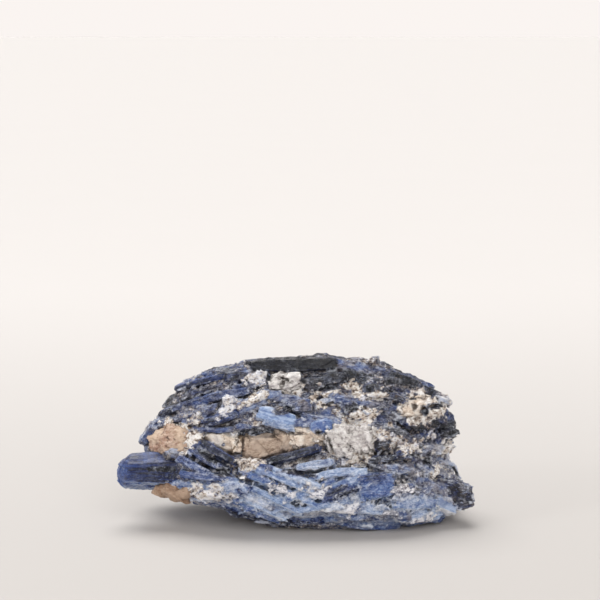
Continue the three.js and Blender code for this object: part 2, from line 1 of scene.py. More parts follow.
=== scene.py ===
import math
import bpy
import numpy as np
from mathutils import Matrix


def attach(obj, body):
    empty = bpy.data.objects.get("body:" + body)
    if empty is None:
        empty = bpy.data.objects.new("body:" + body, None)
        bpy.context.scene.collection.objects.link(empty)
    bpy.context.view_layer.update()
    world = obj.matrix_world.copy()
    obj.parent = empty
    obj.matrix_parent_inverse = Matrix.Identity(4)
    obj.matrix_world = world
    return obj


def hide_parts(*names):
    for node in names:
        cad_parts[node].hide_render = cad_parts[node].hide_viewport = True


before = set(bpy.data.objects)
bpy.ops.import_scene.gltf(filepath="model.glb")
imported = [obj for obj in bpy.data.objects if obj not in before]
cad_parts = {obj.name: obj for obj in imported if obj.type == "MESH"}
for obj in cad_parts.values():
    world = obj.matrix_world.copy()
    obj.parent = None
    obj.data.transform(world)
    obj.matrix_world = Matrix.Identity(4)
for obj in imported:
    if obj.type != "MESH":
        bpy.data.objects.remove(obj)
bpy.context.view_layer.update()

CELL = 0.335      # mm, size of a grid cell of the surface
SHIFT = np.array([-0.1088, -1.7112, 0.0])
SEED = 40711

# ---------------------------------------------------------------- the blades
# Outline of the mass by height (mm): left and right ends, front and back depth.
LEVEL = [0, 4, 8, 12, 16, 20, 24, 28, 32, 36, 40, 44, 47.5, 50.5]
LEFT = [-15, -22, -36, -43, -45, -45, -45, -44.5, -40, -37.5, -35, -29, -13, 6]
RIGHT = [43, 49, 51, 50, 47, 46.5, 47.5, 48.5, 46.5, 47, 42, 33, 24, 17]
FRONT = [17, 22, 25, 26, 25.5, 24, 22, 20, 17.5, 15, 12, 8.5, 4.5, 1.5]
BACK = [20, 24, 27, 29, 29, 28, 27, 25, 23, 20, 17, 12.5, 8, 4]
POWER = 2.6
# centre, long axis, face normal, half length, half width, half thickness, taper x2, slant x2, tone, grey, white,
# how clean it stays, lip blade, flat share of the section, crust, warmth
BLADES = np.array([
    [-21.22, 0.56, 42.64, 0.968, -0.022, 0.248, -0.14, -0.872, 0.469, 9.18, 1.61, 5, 0.75, 0.75, 0.4, 0, 0.55, 0.8, 0.3, 0.85, 0, 0.72, 0, 0.3],
    [-26.51, -0.78, 41.49, 0.893, -0.359, 0.271, -0.383, -0.923, 0.035, 9.46, 1.28, 5, 0.9, 0.7, 0.3, 0, 0.26, 0.1, 0.3, 0.95, 0, 0.72, 0, 0.3],
    [-27.03, -4.34, 38.61, 0.928, -0.208, 0.31, -0.272, -0.946, 0.179, 7.7, 1.21, 4.5, 0.75, 0.75, 0, 0, 0.45, 1, 0.3, 0.85, 0, 0.72, 0, 0.3],
    [-23.77, -5.67, 37.21, 0.949, -0.167, 0.267, -0.212, -0.965, 0.153, 12.61, 1.65, 5, 0.75, 0.75, 0.5, 0, 0.42, 0.45, 0.3, 0.85, 0, 0.72, 0, 0.3],
    [-34.72, -2.66, 34.22, 0.696, -0.564, 0.444, -0.569, -0.811, -0.139, 5.85, 1.35, 4, 0.75, 0.75, 0.3, 0, 0.15, 0.6, 0.3, 0.7, 0, 0.72, 0, 0.3],
    [-34.66, -6.44, 30.87, 0.857, -0.423, 0.296, -0.454, -0.89, 0.04, 7.09, 1.2, 4, 0.75, 0.75, 0.3, 0, 0.3, 0.6, 0.3, 0.7, 0, 0.72, 0, 0.3],
    [-27.37, -9.84, 33.38, 0.936, -0.147, 0.319, -0.238, -0.932, 0.272, 6.14, 1.99, 3.5, 0.75, 0.75, 0, 0, 0.58, 0.8, 0.3, 0.6, 0, 0.72, 0, 0.3],
    [-21.25, -13.47, 32.79, 0.962, -0.017, 0.272, -0.07, -0.98, 0.189, 6.04, 1.8, 3.5, 0.75, 0.75, 0, 0, 0.27, 0.15, 0.3, 0.85, 0, 0.72, 0, 0.3],
    [-18.53, -11.81, 37.18, 0.984, -0.037, 0.173, -0.052, -0.996, 0.078, 2.67, 2.25, 2.5, 0.75, 0.75, 0, 0, 0.88, 0.6, 0.8, 0.2, 0, 0.72, 0, 0.3],
    [-16.95, -5.13, 42.83, 0.993, -0.025, 0.116, -0.071, -0.907, 0.415, 4, 2.35, 3.5, 0.75, 0.75, 0, 0, 0.3, 0.9, 0.3, 0.6, 0, 0.72, 0, 0.3],
    [-20.1, -13.39, 29.76, 0.99, -0.129, 0.06, -0.137, -0.976, 0.167, 8.54, 1.2, 4, 0.75, 0.75, 0, 0, 0.5, 0.55, 0.3, 0.7, 0, 0.72, 0, 0.3],
    [-14.75, -16.29, 30.97, 0.991, -0.04, 0.126, -0.071, -0.966, 0.25, 2.48, 1.36, 2.5, 0.75, 0.75, 0, 0, 0.55, 0.9, 0.3, 0.2, 0, 0.72, 0, 0.3],
    [-7.9, -10.38, 38.65, 0.988, 0.052, 0.144, -0, -0.94, 0.342, 3.83, 1.99, 3, 0.75, 0.75, 0, 0, 0.6, 0.65, 0.3, 0.6, 0, 0.72, 0, 0.3],
    [-12.64, -11.56, 35.99, 0.946, 0.13, 0.296, 0.031, -0.947, 0.319, 4.61, 1.82, 3, 0.75, 0.75, 0, 0, 0.7, 0.5, 0.7, 0.6, 0, 0.72, 0, 0.3],
    [-14.44, -6.82, 40.88, 0.973, 0.078, 0.218, 0.019, -0.965, 0.263, 5.11, 1.51, 3.5, 0.75, 0.75, 0, 0, 0.45, 0.6, 0.3, 0.6, 0, 0.72, 0, 0.3],
    [-4.89, -15.51, 33.23, 0.959, -0.185, -0.213, -0.088, -0.914, 0.396, 6.5, 2.78, 2.5, 0.75, 0.75, 0, 0, 0.72, 0, 0.2, 0.95, 0, 0.72, 0, 0.3],
    [-3.53, -16.43, 30.93, 0.979, -0.125, -0.159, -0.109, -0.989, 0.105, 5.62, 1.35, 2.5, 0.75, 0.75, 0, 0, 0.7, 0.2, 0.3, 0.2, 0, 0.72, 0, 0.3],
    [1.89, -13.09, 36.04, 0.992, 0.079, 0.101, 0.039, -0.937, 0.346, 3.81, 2.45, 3, 0.75, 0.75, 0, 0, 0.45, 0.85, 0.3, 0.7, 0, 0.72, 0, 0.3],
    [7.89, -16.72, 30.82, 0.98, 0.104, 0.17, 0.056, -0.962, 0.269, 3.84, 2.57, 3, 0.75, 0.75, 0, 0, 0.52, 0, 0.3, 0.95, 0, 0.72, 0, 0.3],
    [3.08, -15.62, 31.61, 0.969, 0.134, 0.209, 0.073, -0.959, 0.275, 3.74, 1.66, 3, 0.75, 0.75, 0, 0, 0.5, 0.6, 0.3, 0.2, 0, 0.72, 0, 0.3],
    [8.4, -13.73, 32.09, 0.974, -0.105, -0.2, -0.048, -0.962, 0.269, 6.69, 1.81, 3.5, 0.75, 0.75, 0, 0, 0.6, 0.5, 0.3, 0.7, 0, 0.72, 0, 0.3],
    [-2.76, -10.71, 37.92, 0.993, -0.085, -0.079, -0.061, -0.963, 0.264, 4.7, 1.36, 3, 0.75, 0.75, 0, 0, 0.55, 0.6, 0.3, 0.2, 0, 0.72, 0, 0.3],
    [0.16, 0.61, 45.83, 0.999, 0.007, 0.052, -0.005, -0.97, 0.242, 14.02, 2.56, 6.5, 0.85, 0.8, -0.5, 0.2, 0.05, 0.25, 0.3, 1, 0, 0.72, 0, 0.3],
    [4.05, 1.94, 44.23, 0.999, -0.007, 0.046, -0.038, -0.707, 0.706, 13.35, 1.69, 6, 0.75, 0.75, -0.4, 0.2, 0.1, 0.35, 0.3, 0.6, 0, 0.72, 0, 0.3],
    [12.03, -6.09, 42.92, 0.994, 0.097, 0.054, 0.075, -0.947, 0.314, 4.14, 2.13, 3.5, 0.75, 0.75, 0, 0, 0.09, 0.35, 0.3, 0.8, 0, 0.72, 0, 0.3],
    [5.73, -7.22, 41.84, 0.998, 0.043, 0.055, 0.027, -0.965, 0.26, 4.69, 2.42, 3.5, 0.75, 0.75, 0, 0, 0.12, 0.6, 0.3, 0.85, 0, 0.72, 0, 0.3],
    [-10.33, -5.8, 43.28, 0.999, -0.027, 0.045, -0.038, -0.966, 0.257, 3.68, 1.28, 3, 0.75, 0.75, 0, 0, 0.92, 0.6, 0.9, 0.2, 0, 0.72, 0, 0.3],
    [17.07, 0.07, 43.04, 0.981, -0.047, -0.188, 0.106, -0.678, 0.727, 8.43, 2.72, 6, 0.75, 0.75, 0, 0, 0.68, 0.65, 0.5, 0.6, 0, 0.72, 0, 0.3],
    [17.98, -4.82, 43.47, 0.987, -0.078, -0.141, -0.024, -0.938, 0.346, 3.86, 2.15, 3.5, 0.75, 0.75, 0, 0, 0.09, 0.35, 0.3, 0.7, 0, 0.72, 0, 0.3],
    [25.57, -0.83, 42.42, 0.968, 0.09, -0.233, 0.228, -0.705, 0.671, 5.53, 2.06, 4.5, 0.75, 0.75, 0, 0, 0.5, 0.7, 0.5, 0.2, 0, 0.72, 0, 0.3],
    [23.89, -8.31, 39.51, 0.982, -0.052, -0.183, 0.014, -0.941, 0.34, 3.87, 2.76, 3.5, 0.75, 0.75, 0, 0, 0.07, 0.35, 0.3, 0.9, 0, 0.72, 0, 0.3],
    [31.73, -2.24, 41.38, 0.951, 0.04, -0.308, 0.174, -0.89, 0.421, 4.99, 2.07, 4, 0.75, 0.75, 0, 0, 0.04, 0.35, 0.3, 0.95, 0, 0.72, 0, 0.3],
    [38.57, -0.64, 36.72, 0.856, 0.254, -0.451, 0.451, -0.792, 0.411, 7.09, 2.17, 5, 0.75, 0.75, 0, 0, 0.2, 0.5, 0.3, 0.7, 0, 0.72, 0, 0.3],
    [35.25, -5.6, 37.67, 0.948, 0.067, -0.312, 0.163, -0.942, 0.293, 7.49, 1.53, 3.5, 0.75, 0.75, 0, 0, 0.35, 0.6, 0.3, 0.7, 0, 0.72, 0, 0.3],
    [43.67, -3.26, 35.74, 0.754, 0.528, -0.39, 0.612, -0.781, 0.124, 4.16, 1.38, 3, 0.75, 0.75, 0, 0, 0.85, 0.5, 0.9, 0.2, 0, 0.72, 0, 0.3],
    [16.02, -13.06, 35.39, 0.992, 0.102, 0.08, 0.072, -0.946, 0.316, 2.94, 1.98, 3, 0.75, 0.75, 0, 0, 0.22, 0.8, 0.3, 0.2, 0, 0.72, 0, 0.3],
    [25.08, -13.65, 34.66, 0.984, 0.158, 0.085, 0.123, -0.939, 0.322, 2.53, 1.37, 2.5, 0.75, 0.75, 0, 0, 0.22, 0.75, 0.3, 0.2, 0, 0.72, 0, 0.3],
    [16.92, -10.47, 37.06, 0.984, -0.068, -0.163, -0.014, -0.95, 0.311, 5.91, 1.83, 3.5, 0.75, 0.75, 0, 0, 0.5, 0.75, 0.3, 0.7, 0, 0.72, 0, 0.3],
    [25.8, -10.56, 34.91, 0.977, 0.012, -0.212, 0.075, -0.953, 0.294, 8.52, 1.98, 3.5, 0.75, 0.75, 0, 0, 0.45, 0.7, 0.3, 0.6, 0, 0.72, 0, 0.3],
    [30.04, -8.6, 37.39, 0.976, 0.024, -0.217, 0.095, -0.942, 0.323, 4.21, 1.69, 3.5, 0.75, 0.75, 0, 0, 0.3, 0.8, 0.3, 0.6, 0, 0.72, 0, 0.3],
    [11.73, -9.65, 38.9, 0.989, -0.073, -0.131, -0.028, -0.949, 0.313, 4.13, 1.52, 3, 0.75, 0.75, 0, 0, 0.6, 0.7, 0.3, 0.2, 0, 0.72, 0, 0.3],
    [22.95, -12.82, 32.13, 0.981, 0.028, -0.193, 0.076, -0.967, 0.245, 7.13, 1.81, 3.5, 0.75, 0.75, 0, 0, 0.4, 0.75, 0.3, 0.6, 0, 0.72, 0, 0.3],
    [37.91, -6.27, 28.25, 0.806, 0.587, -0.077, 0.564, -0.721, 0.403, 10.56, 2.32, 6, 0.7, 0.9, 0, 0, 0.03, 0.25, 0.3, 0.97, 0, 0.72, 0, 0.3],
    [37.34, -8.37, 26.25, 0.779, 0.613, -0.13, 0.617, -0.787, -0.014, 9.95, 2.56, 5.5, 0.7, 0.85, 0, 0, 0.26, 0.15, 0.3, 0.85, 0, 0.72, 0, 0.3],
    [45.42, -7.47, 27.09, 0.605, 0.787, -0.125, 0.791, -0.611, -0.02, 3.81, 1.35, 2.5, 0.75, 0.75, 0, 0, 0.08, 0.3, 0.3, 0.2, 0, 0.72, 0, 0.3],
    [41.36, -8.72, 23.49, 0.687, 0.714, -0.135, 0.672, -0.695, -0.254, 7.43, 1.69, 4, 0.75, 0.75, 0, 0, 0.75, 0.5, 0.9, 0.2, 0, 0.72, 0, 0.3],
    [25.35, -17.39, 25.94, 0.985, 0.169, -0.037, 0.173, -0.976, 0.135, 3.55, 2.4, 3.5, 0.75, 0.75, 0, 0, 0.14, 0.6, 0.3, 0.7, 0, 0.72, 0, 0.3],
    [24.57, -19.41, 22.38, 0.977, 0.211, 0.009, 0.206, -0.962, 0.179, 5.21, 1.2, 3, 0.75, 0.75, 0, 0, 0.1, 0.5, 0.3, 0.2, 0, 0.72, 0, 0.3],
    [27.76, -14.21, 29.07, 0.953, 0.029, -0.301, 0.101, -0.968, 0.228, 7.02, 1.81, 3.5, 0.75, 0.75, 0, 0, 0.38, 0.8, 0.3, 0.6, 0, 0.72, 0, 0.3],
    [31.05, -12, 31.92, 0.911, 0, -0.412, 0.098, -0.972, 0.216, 5.77, 1.51, 3.5, 0.75, 0.75, 0, 0, 0.3, 0.7, 0.3, 0.2, 0, 0.72, 0, 0.3],
    [34.44, -13.18, 22.95, 0.84, 0.407, -0.36, 0.483, -0.863, 0.15, 9.33, 1.52, 3.5, 0.75, 0.75, 0, 0, 0.3, 0.8, 0.3, 0.2, 0, 0.72, 0, 0.3],
    [36.35, -12.99, 18.81, 0.784, 0.449, -0.428, 0.541, -0.832, 0.12, 10.48, 1.53, 3.5, 0.75, 0.75, 0, 0, 0.45, 0.7, 0.3, 0.6, 0, 0.72, 0, 0.3],
    [27.93, -18.64, 19.42, 0.952, 0.199, -0.232, 0.258, -0.931, 0.257, 5.52, 1.52, 3.5, 0.75, 0.75, 0, 0, 0.55, 0.8, 0.3, 0.2, 0, 0.72, 0, 0.3],
    [31.59, -17.68, 23.23, 0.939, 0.335, 0.075, 0.3, -0.907, 0.296, 2.98, 1.36, 3, 0.75, 0.75, 0, 0, 0.35, 1, 0.3, 0.2, 0, 0.72, 0, 0.3],
    [31.9, -18.96, 18.05, 0.91, 0.41, 0.058, 0.337, -0.815, 0.472, 3.91, 2.03, 3, 0.75, 0.75, 0, 0, 0.5, 0.9, 0.3, 0.6, 0, 0.72, 0, 0.3],
    [27.46, -15.76, 26.67, 0.891, 0, -0.453, 0.084, -0.983, 0.166, 4.56, 1.35, 3.5, 0.75, 0.75, 0, 0, 0.55, 0.7, 0.3, 0.2, 0, 0.72, 0, 0.3],
    [-38.04, -10.57, 16.47, 0.997, -0.066, 0.029, -0.069, -0.988, 0.138, 15.18, 6.15, 6, 0.9, 0.9, 0.08, 0, 0.25, 0, 0.1, 1, 0, 0.45, 0, 0.3],
    [-29.5, -15.97, 14.42, 0.868, -0.497, 0.024, -0.486, -0.857, -0.173, 9.66, 1.87, 4, 0.75, 0.75, 0, 0, 0.7, 0.35, 0.3, 0.6, 0, 0.72, 0, 0.3],
    [-25.92, -19.54, 17.11, 0.95, -0.311, -0.029, -0.303, -0.94, 0.155, 7.39, 1.5, 4, 0.75, 0.75, 0, 0, 0.5, 0.3, 0.3, 0.6, 0, 0.72, 0, 0.3],
    [-42.09, -2.64, 26.99, 0.545, -0.498, 0.675, -0.417, -0.859, -0.298, 5.02, 1.95, 4.5, 0.75, 0.75, 0, 0, 0.5, 0.65, 0.3, 0.8, 0, 0.72, 0, 0.3],
    [-28.96, -13.84, 25.15, 0.785, -0.496, -0.371, -0.326, -0.84, 0.434, 6.85, 1.66, 4, 0.75, 0.75, 0, 0, 0.4, 0.35, 0.3, 0.7, 0, 0.72, 0, 0.3],
    [-24.5, -17.94, 20.95, 0.826, -0.396, -0.402, -0.239, -0.891, 0.386, 7.83, 1.66, 4, 0.75, 0.75, 0, 0, 0.33, 0.3, 0.3, 0.85, 1, 0.72, 0, 0.3],
    [-28.45, -17.89, 18.89, 0.859, -0.421, -0.292, -0.266, -0.853, 0.449, 6.88, 1.53, 4, 0.75, 0.75, 0, 0, 0.45, 0.35, 0.3, 0.85, 0, 0.72, 0, 0.3],
    [-21.55, -18.43, 23.42, 0.83, -0.358, -0.428, -0.201, -0.907, 0.37, 6.69, 1.36, 3.5, 0.75, 0.75, 0, 0, 0.17, 0.1, 0.3, 0.95, 1, 0.72, 0, 0.3],
    [-0.81, -20.22, 22.87, 0.965, 0.11, 0.24, 0.021, -0.938, 0.347, 9.98, 1.38, 3.5, 0.75, 0.75, 0, 0, 0.13, 0.1, 0.3, 0.95, 1, 0.72, 0, 0.3],
    [-10.8, -21.25, 19.83, 0.973, -0.156, -0.169, -0.087, -0.929, 0.358, 5.77, 1.38, 3.5, 0.75, 0.75, 0, 0, 0.4, 0.6, 0.3, 0.2, 1, 0.72, 0, 0.3],
    [6.06, -21.73, 20.25, 0.987, 0.088, 0.135, 0.023, -0.904, 0.426, 5.67, 1.72, 3.5, 0.75, 0.75, 0, 0, 0.74, 0.3, 0.3, 0.8, 0, 0.72, 0, 0.3],
    [12.9, -21.91, 17.88, 0.991, 0.108, 0.085, 0.067, -0.922, 0.381, 9.29, 1.7, 4, 0.75, 0.75, 0, 0, 0.74, 0.1, 0.3, 0.8, 0, 0.72, 0, 0.3],
    [12.3, -23.57, 13.26, 0.949, 0.085, 0.302, 0.03, -0.983, 0.183, 5.89, 2.1, 4, 0.75, 0.75, 0, 0, 0.2, 0, 0.3, 0.95, 0, 0.72, 0, 0.3],
    [23.51, -21.2, 14.42, 0.977, 0.209, 0.045, 0.194, -0.956, 0.221, 6.23, 4.51, 4.5, 0.85, 0.85, 0, 0, 0.42, 0, 0.3, 0.8, 0, 0.72, 0, 0.3],
    [22.26, -22.59, 16.73, 0.982, 0.185, 0.047, 0.147, -0.889, 0.434, 4.86, 1.57, 3.5, 0.75, 0.75, 0, 0, 0.2, 0, 0.3, 0.9, 0, 0.72, 0, 0.3],
    [-9.18, -21.9, 12.25, 0.897, -0.038, -0.44, 0.069, -0.972, 0.226, 13.12, 1.36, 3.5, 0.75, 0.75, 0, 0, 0.62, 0.2, 0.3, 0.85, 0, 0.72, 0, 0.3],
    [-4.51, -23.05, 14.05, 0.915, -0.074, -0.397, 0.048, -0.956, 0.289, 13.47, 1.37, 3.5, 0.75, 0.75, 0, 0, 0.55, 0.15, 0.3, 0.85, 0, 0.72, 0, 0.3],
    [-11.25, -20.45, 9.44, 0.87, 0.147, -0.471, 0.166, -0.986, -0.001, 11.55, 1.35, 3.5, 0.75, 0.75, 0, 0, 0.72, 0.2, 0.3, 0.85, 0, 0.72, 0, 0.3],
    [-0.99, -23.7, 15.5, 0.933, -0.1, -0.344, 0.022, -0.942, 0.334, 11.96, 1.38, 3.5, 0.75, 0.75, 0, 0, 0.62, 0.1, 0.3, 0.85, 1, 0.72, 0, 0.3],
    [0.44, -23.72, 16.94, 0.951, -0.107, -0.289, 0.024, -0.909, 0.415, 8.42, 1.41, 3.5, 0.75, 0.75, 0, 0, 0.78, 0.15, 0.3, 0.85, 0, 0.72, 0, 0.3],
    [-11.16, -19.26, 7.79, 0.833, 0.291, -0.47, 0.214, -0.954, -0.211, 8.95, 1.38, 3.5, 0.75, 0.75, 0, 0, 0.45, 0.2, 0.3, 0.85, 0, 0.72, 0, 0.3],
    [4.67, -23.31, 13.97, 0.931, 0.058, 0.36, -0.035, -0.969, 0.246, 8.62, 1.36, 3.5, 0.75, 0.75, 0, 0, 0.5, 0.1, 0.3, 0.85, 0, 0.72, 0, 0.3],
    [7.94, -23.22, 9.58, 0.977, -0.055, 0.207, -0.071, -0.995, 0.072, 9.1, 1.5, 3.5, 0.75, 0.75, 0, 0, 0.55, 0.3, 0.3, 0.7, 0, 0.72, 0, 0.3],
    [14, -23.12, 8.98, 0.983, 0.093, -0.161, 0.092, -0.996, -0.015, 6.44, 1.82, 3.5, 0.75, 0.75, 0, 0, 0.45, 0.6, 0.7, 0.7, 0, 0.72, 0, 0.3],
    [-1.97, -14.68, 4.71, 0.956, -0.294, 0.013, -0.266, -0.88, -0.392, 12.22, 1.9, 4, 0.75, 0.75, 0, 0, 0.14, 0.1, 0.3, 0.7, 0, 0.72, 0, 0.3],
    [-17.22, -15, 6.99, 0.923, 0.205, -0.325, 0.076, -0.926, -0.37, 4.38, 1.66, 4, 0.75, 0.75, 0, 0, 0.04, 0.3, 0.3, 0.2, 0, 0.72, 0, 0.3],
    [31.52, -19.97, 5.7, 0.974, 0.222, 0.053, 0.225, -0.971, -0.077, 2.71, 1.69, 2.5, 0.75, 0.75, 0, 0, 0.38, 0.9, 0.3, 0.2, 0, 0.72, 0, 0.3],
    [35.96, -14.96, 5.02, 0.875, 0.483, -0.039, 0.482, -0.876, -0.022, 7.25, 3.03, 4.5, 0.85, 0.7, 0, 0, 0.7, 0.1, 0.3, 0.5, 0, 0.72, 0, 0.3],
    [40.54, -8.52, 1.7, 0.892, 0.438, 0.109, 0.451, -0.861, -0.235, 3.42, 1.47, 3, 0.75, 0.75, 0, 0, 0.14, 0.2, 0.3, 0.2, 0, 0.72, 0, 0.3],
    [-18.03, -22.85, 14.18, 0.968, -0.161, 0.195, -0.174, -0.983, 0.053, 3.73, 2.55, 3, 0.75, 0.75, 0, 0, 0.68, 0.45, 0.3, 0.8, 0, 0.72, 0, 0.3],
    [-14.45, -24.23, 14.34, 0.99, -0.138, 0.032, -0.14, -0.987, 0.084, 2.18, 1.8, 2.5, 0.75, 0.75, 0, 0, 0.14, 0.1, 0.3, 0.2, 0, 0.72, 0, 0.3],
    [-23.86, -17.64, 12.61, 0.813, -0.518, 0.265, -0.426, -0.841, -0.335, 7.34, 2.97, 4, 0.75, 0.75, 0, 0, 0.75, 0.55, 0.95, 0.2, 0, 0.72, 0, 0.3],
    [31.74, -21.23, 12.7, 0.917, 0.374, 0.14, 0.354, -0.924, 0.147, 3.21, 2.25, 3, 0.75, 0.75, 0, 0, 0.4, 0.9, 0.3, 0.2, 0, 0.72, 0, 0.3],
    [19.72, -14.74, 3.18, 0.94, 0.286, -0.184, 0.221, -0.925, -0.309, 12.23, 1.78, 4.5, 0.75, 0.75, 0, 0, 0.42, 0.4, 0.3, 0.6, 0, 0.72, 0, 0.3],
    [29.44, -12.02, 3.54, 0.93, 0.357, -0.082, 0.308, -0.883, -0.353, 15.1, 1.66, 4.5, 0.75, 0.75, 0, 0, 0.5, 0.35, 0.3, 0.7, 0, 0.72, 0, 0.3],
    [21.45, -20.87, 8.3, 0.969, 0.182, -0.165, 0.179, -0.983, -0.031, 9.88, 1.67, 4, 0.75, 0.75, 0, 0, 0.6, 0.35, 0.6, 0.7, 0, 0.72, 0, 0.3],
    [16.75, -20.79, 6.28, 0.96, 0.184, -0.21, 0.148, -0.974, -0.173, 5.44, 1.4, 3.5, 0.75, 0.75, 0, 0, 0.5, 0.4, 0.3, 0.7, 0, 0.72, 0, 0.3],
    [33.79, -18.52, 8.67, 0.928, 0.365, -0.071, 0.371, -0.92, 0.122, 7.67, 1.95, 4, 0.75, 0.75, 0, 0, 0.6, 0.2, 0.6, 0.7, 0, 0.72, 0, 0.3],
    [14.92, -23.61, 15.73, 0.968, 0.158, 0.195, 0.08, -0.93, 0.359, 5.05, 1.38, 3, 0.75, 0.75, 0, 0, 0.6, 0.15, 0.3, 0.6, 0, 0.72, 0, 0.3],
    [40.3, -13.14, 7.53, 0.859, 0.255, -0.443, 0.413, -0.857, 0.308, 7.85, 2.06, 4.5, 0.75, 0.75, 0, 0, 0.76, 0.2, 0.3, 1, 0, 0.72, 0, 0.3],
    [44.93, -8.02, 8.95, 0.974, 0.129, -0.186, 0.187, -0.919, 0.346, 7.77, 4.79, 6.5, 0.85, 0.72, 0, 0, 0.24, 0.9, 0.6, 0.5, 0, 0.72, 0, 0.3],
    [47.18, -5.64, 8.25, 0.924, 0, -0.382, 0.283, -0.672, 0.684, 5.95, 1.97, 5, 0.8, 0.6, 0, 0, 0.48, 0.5, 0.3, 0.2, 0, 0.72, 0, 0.3],
    [38.59, -13.81, 12.36, 0.812, 0.44, -0.385, 0.55, -0.797, 0.25, 6.37, 1.88, 4.5, 0.75, 0.75, 0, 0, 0.5, 0.7, 0.3, 0.6, 0, 0.72, 0, 0.3],
    [-21.12, 4.15, 6.06, 0.937, 0.133, -0.323, -0.332, 0.051, -0.942, 16.67, 4.23, 3.65, 0.75, 0.75, -0.448, -0.044, 0.5, 0.3, 0.404, 0.45, 0, 0.72, 0, 0.3],
    [-4.72, 20.37, 6.11, 0.986, 0.118, -0.121, -0.168, 0.635, -0.754, 16.03, 3.19, 3.87, 0.75, 0.75, 0.29, 0.454, 0.42, 0.05, 0.641, 0.45, 0, 0.72, 0, 0.3],
    [15.44, 22.25, 5.02, 0.998, 0.026, 0.059, 0.008, 0.863, -0.506, 16.88, 4.64, 3.2, 0.75, 0.75, 0.024, 0.137, 0.08, 0.05, 0.342, 0.45, 0, 0.72, 0, 0.3],
    [32.82, 20.08, 5.02, 0.908, -0.336, -0.25, 0.181, 0.854, -0.489, 16.78, 4.01, 3.58, 0.75, 0.75, -0.336, -0.436, 0.2, 0.3, 0.486, 0.45, 0, 0.72, 0, 0.3],
    [-28.37, 19.44, 11.98, 0.905, 0.4, -0.144, -0.425, 0.856, -0.293, 15.15, 5.22, 3.89, 0.75, 0.75, -0.209, 0.076, 0.6, 0.8, 0.276, 0.45, 0, 0.72, 0, 0.3],
    [-15.24, 25.15, 12.42, 0.992, 0.097, -0.081, -0.126, 0.81, -0.572, 13.25, 4.85, 3.41, 0.75, 0.75, -0.222, 0.421, 0.42, 0.3, 0.362, 0.45, 0, 0.72, 0, 0.3],
    [5.91, 26.81, 11.78, 0.992, -0.051, -0.119, -0.007, 0.897, -0.443, 17.53, 3.91, 3.27, 0.75, 0.75, -0.308, 0.165, 0.42, 0.3, 0.508, 0.45, 0, 0.72, 0, 0.3],
    [16.52, 25.88, 12.23, 0.981, -0.146, -0.131, 0.056, 0.846, -0.531, 13.99, 3.6, 3.11, 0.75, 0.75, 0.288, -0.006, 0.42, 0.7, 0.223, 0.45, 0, 0.72, 0, 0.3],
    [35.91, 20.11, 10.79, 0.745, -0.608, -0.275, 0.65, 0.754, 0.095, 13.66, 4.83, 3.44, 0.75, 0.75, 0.016, 0.277, 0.5, 0.3, 0.209, 0.45, 0, 0.72, 0, 0.3],
    [-28.8, 15.47, 16.74, 0.905, 0.361, 0.225, -0.418, 0.855, 0.307, 16.15, 3.8, 3.92, 0.75, 0.75, 0.124, -0.131, 0.2, 0.15, 0.699, 0.45, 0, 0.72, 0, 0.3],
    [-14.28, 25.31, 17.22, 0.974, 0.025, 0.228, -0.093, 0.952, 0.292, 12.71, 3.62, 3.81, 0.75, 0.75, -0.468, -0.355, 0.42, 0.05, 0.663, 0.45, 0, 0.72, 0, 0.3],
    [-0.56, 26.19, 17.9, 0.998, -0.014, -0.06, 0.016, 0.999, 0.045, 12.3, 3.95, 3.4, 0.75, 0.75, -0.244, 0.194, 0.7, 0.8, 0.466, 0.45, 0, 0.72, 0, 0.3],
    [20.45, 24.19, 17.24, 0.954, -0.079, -0.288, 0.153, 0.958, 0.244, 13.26, 3.81, 3.04, 0.75, 0.75, 0.487, -0.345, 0.7, 0.5, 0.514, 0.45, 0, 0.72, 0, 0.3],
    [36.07, 13.23, 18.16, 0.726, -0.617, -0.305, 0.68, 0.708, 0.189, 11.97, 2.86, 3.37, 0.75, 0.75, -0.3, 0.123, 0.7, 0.5, 0.53, 0.45, 0, 0.72, 0, 0.3],
    [-33.4, 10.18, 23.95, 0.873, 0.36, 0.329, -0.456, 0.842, 0.289, 13.02, 3.48, 3.84, 0.75, 0.75, -0.225, 0.126, 0.7, 0.05, 0.508, 0.45, 0, 0.72, 0, 0.3],
    [-17.36, 19.03, 22.97, 0.98, -0.042, 0.197, -0.062, 0.866, 0.496, 16.42, 2.91, 3.94, 0.75, 0.75, 0.027, 0.368, 0.6, 0.15, 0.257, 0.45, 0, 0.72, 0, 0.3],
    [3.63, 21.19, 22.35, 0.986, -0.062, 0.152, -0.063, 0.713, 0.699, 15.69, 3.34, 3.77, 0.75, 0.75, 0.441, 0.034, 0.78, 0.15, 0.239, 0.45, 0, 0.72, 0, 0.3],
    [18.53, 22.67, 22.84, 0.942, 0.235, -0.239, 0.003, 0.707, 0.707, 17.29, 2.92, 3.68, 0.75, 0.75, 0.282, 0.378, 0.5, 0.8, 0.344, 0.45, 0, 0.72, 0, 0.3],
    [38.1, 10.46, 24.12, 0.684, -0.438, -0.583, 0.673, 0.687, 0.273, 11.76, 4.79, 3.34, 0.75, 0.75, 0.239, -0.289, 0.78, 0.7, 0.245, 0.45, 0, 0.72, 0, 0.3],
    [-24.61, 14.27, 30.89, 0.836, 0.159, 0.525, -0.429, 0.785, 0.447, 16.09, 3.38, 3.76, 0.75, 0.75, -0.488, -0.351, 0.6, 0.8, 0.477, 0.45, 0, 0.72, 0, 0.3],
    [-9.76, 16, 30.84, 0.963, -0.094, 0.255, -0.061, 0.839, 0.541, 13.43, 5.07, 3.38, 0.75, 0.75, -0.344, -0.256, 0.2, 0.8, 0.436, 0.45, 0, 0.72, 0, 0.3],
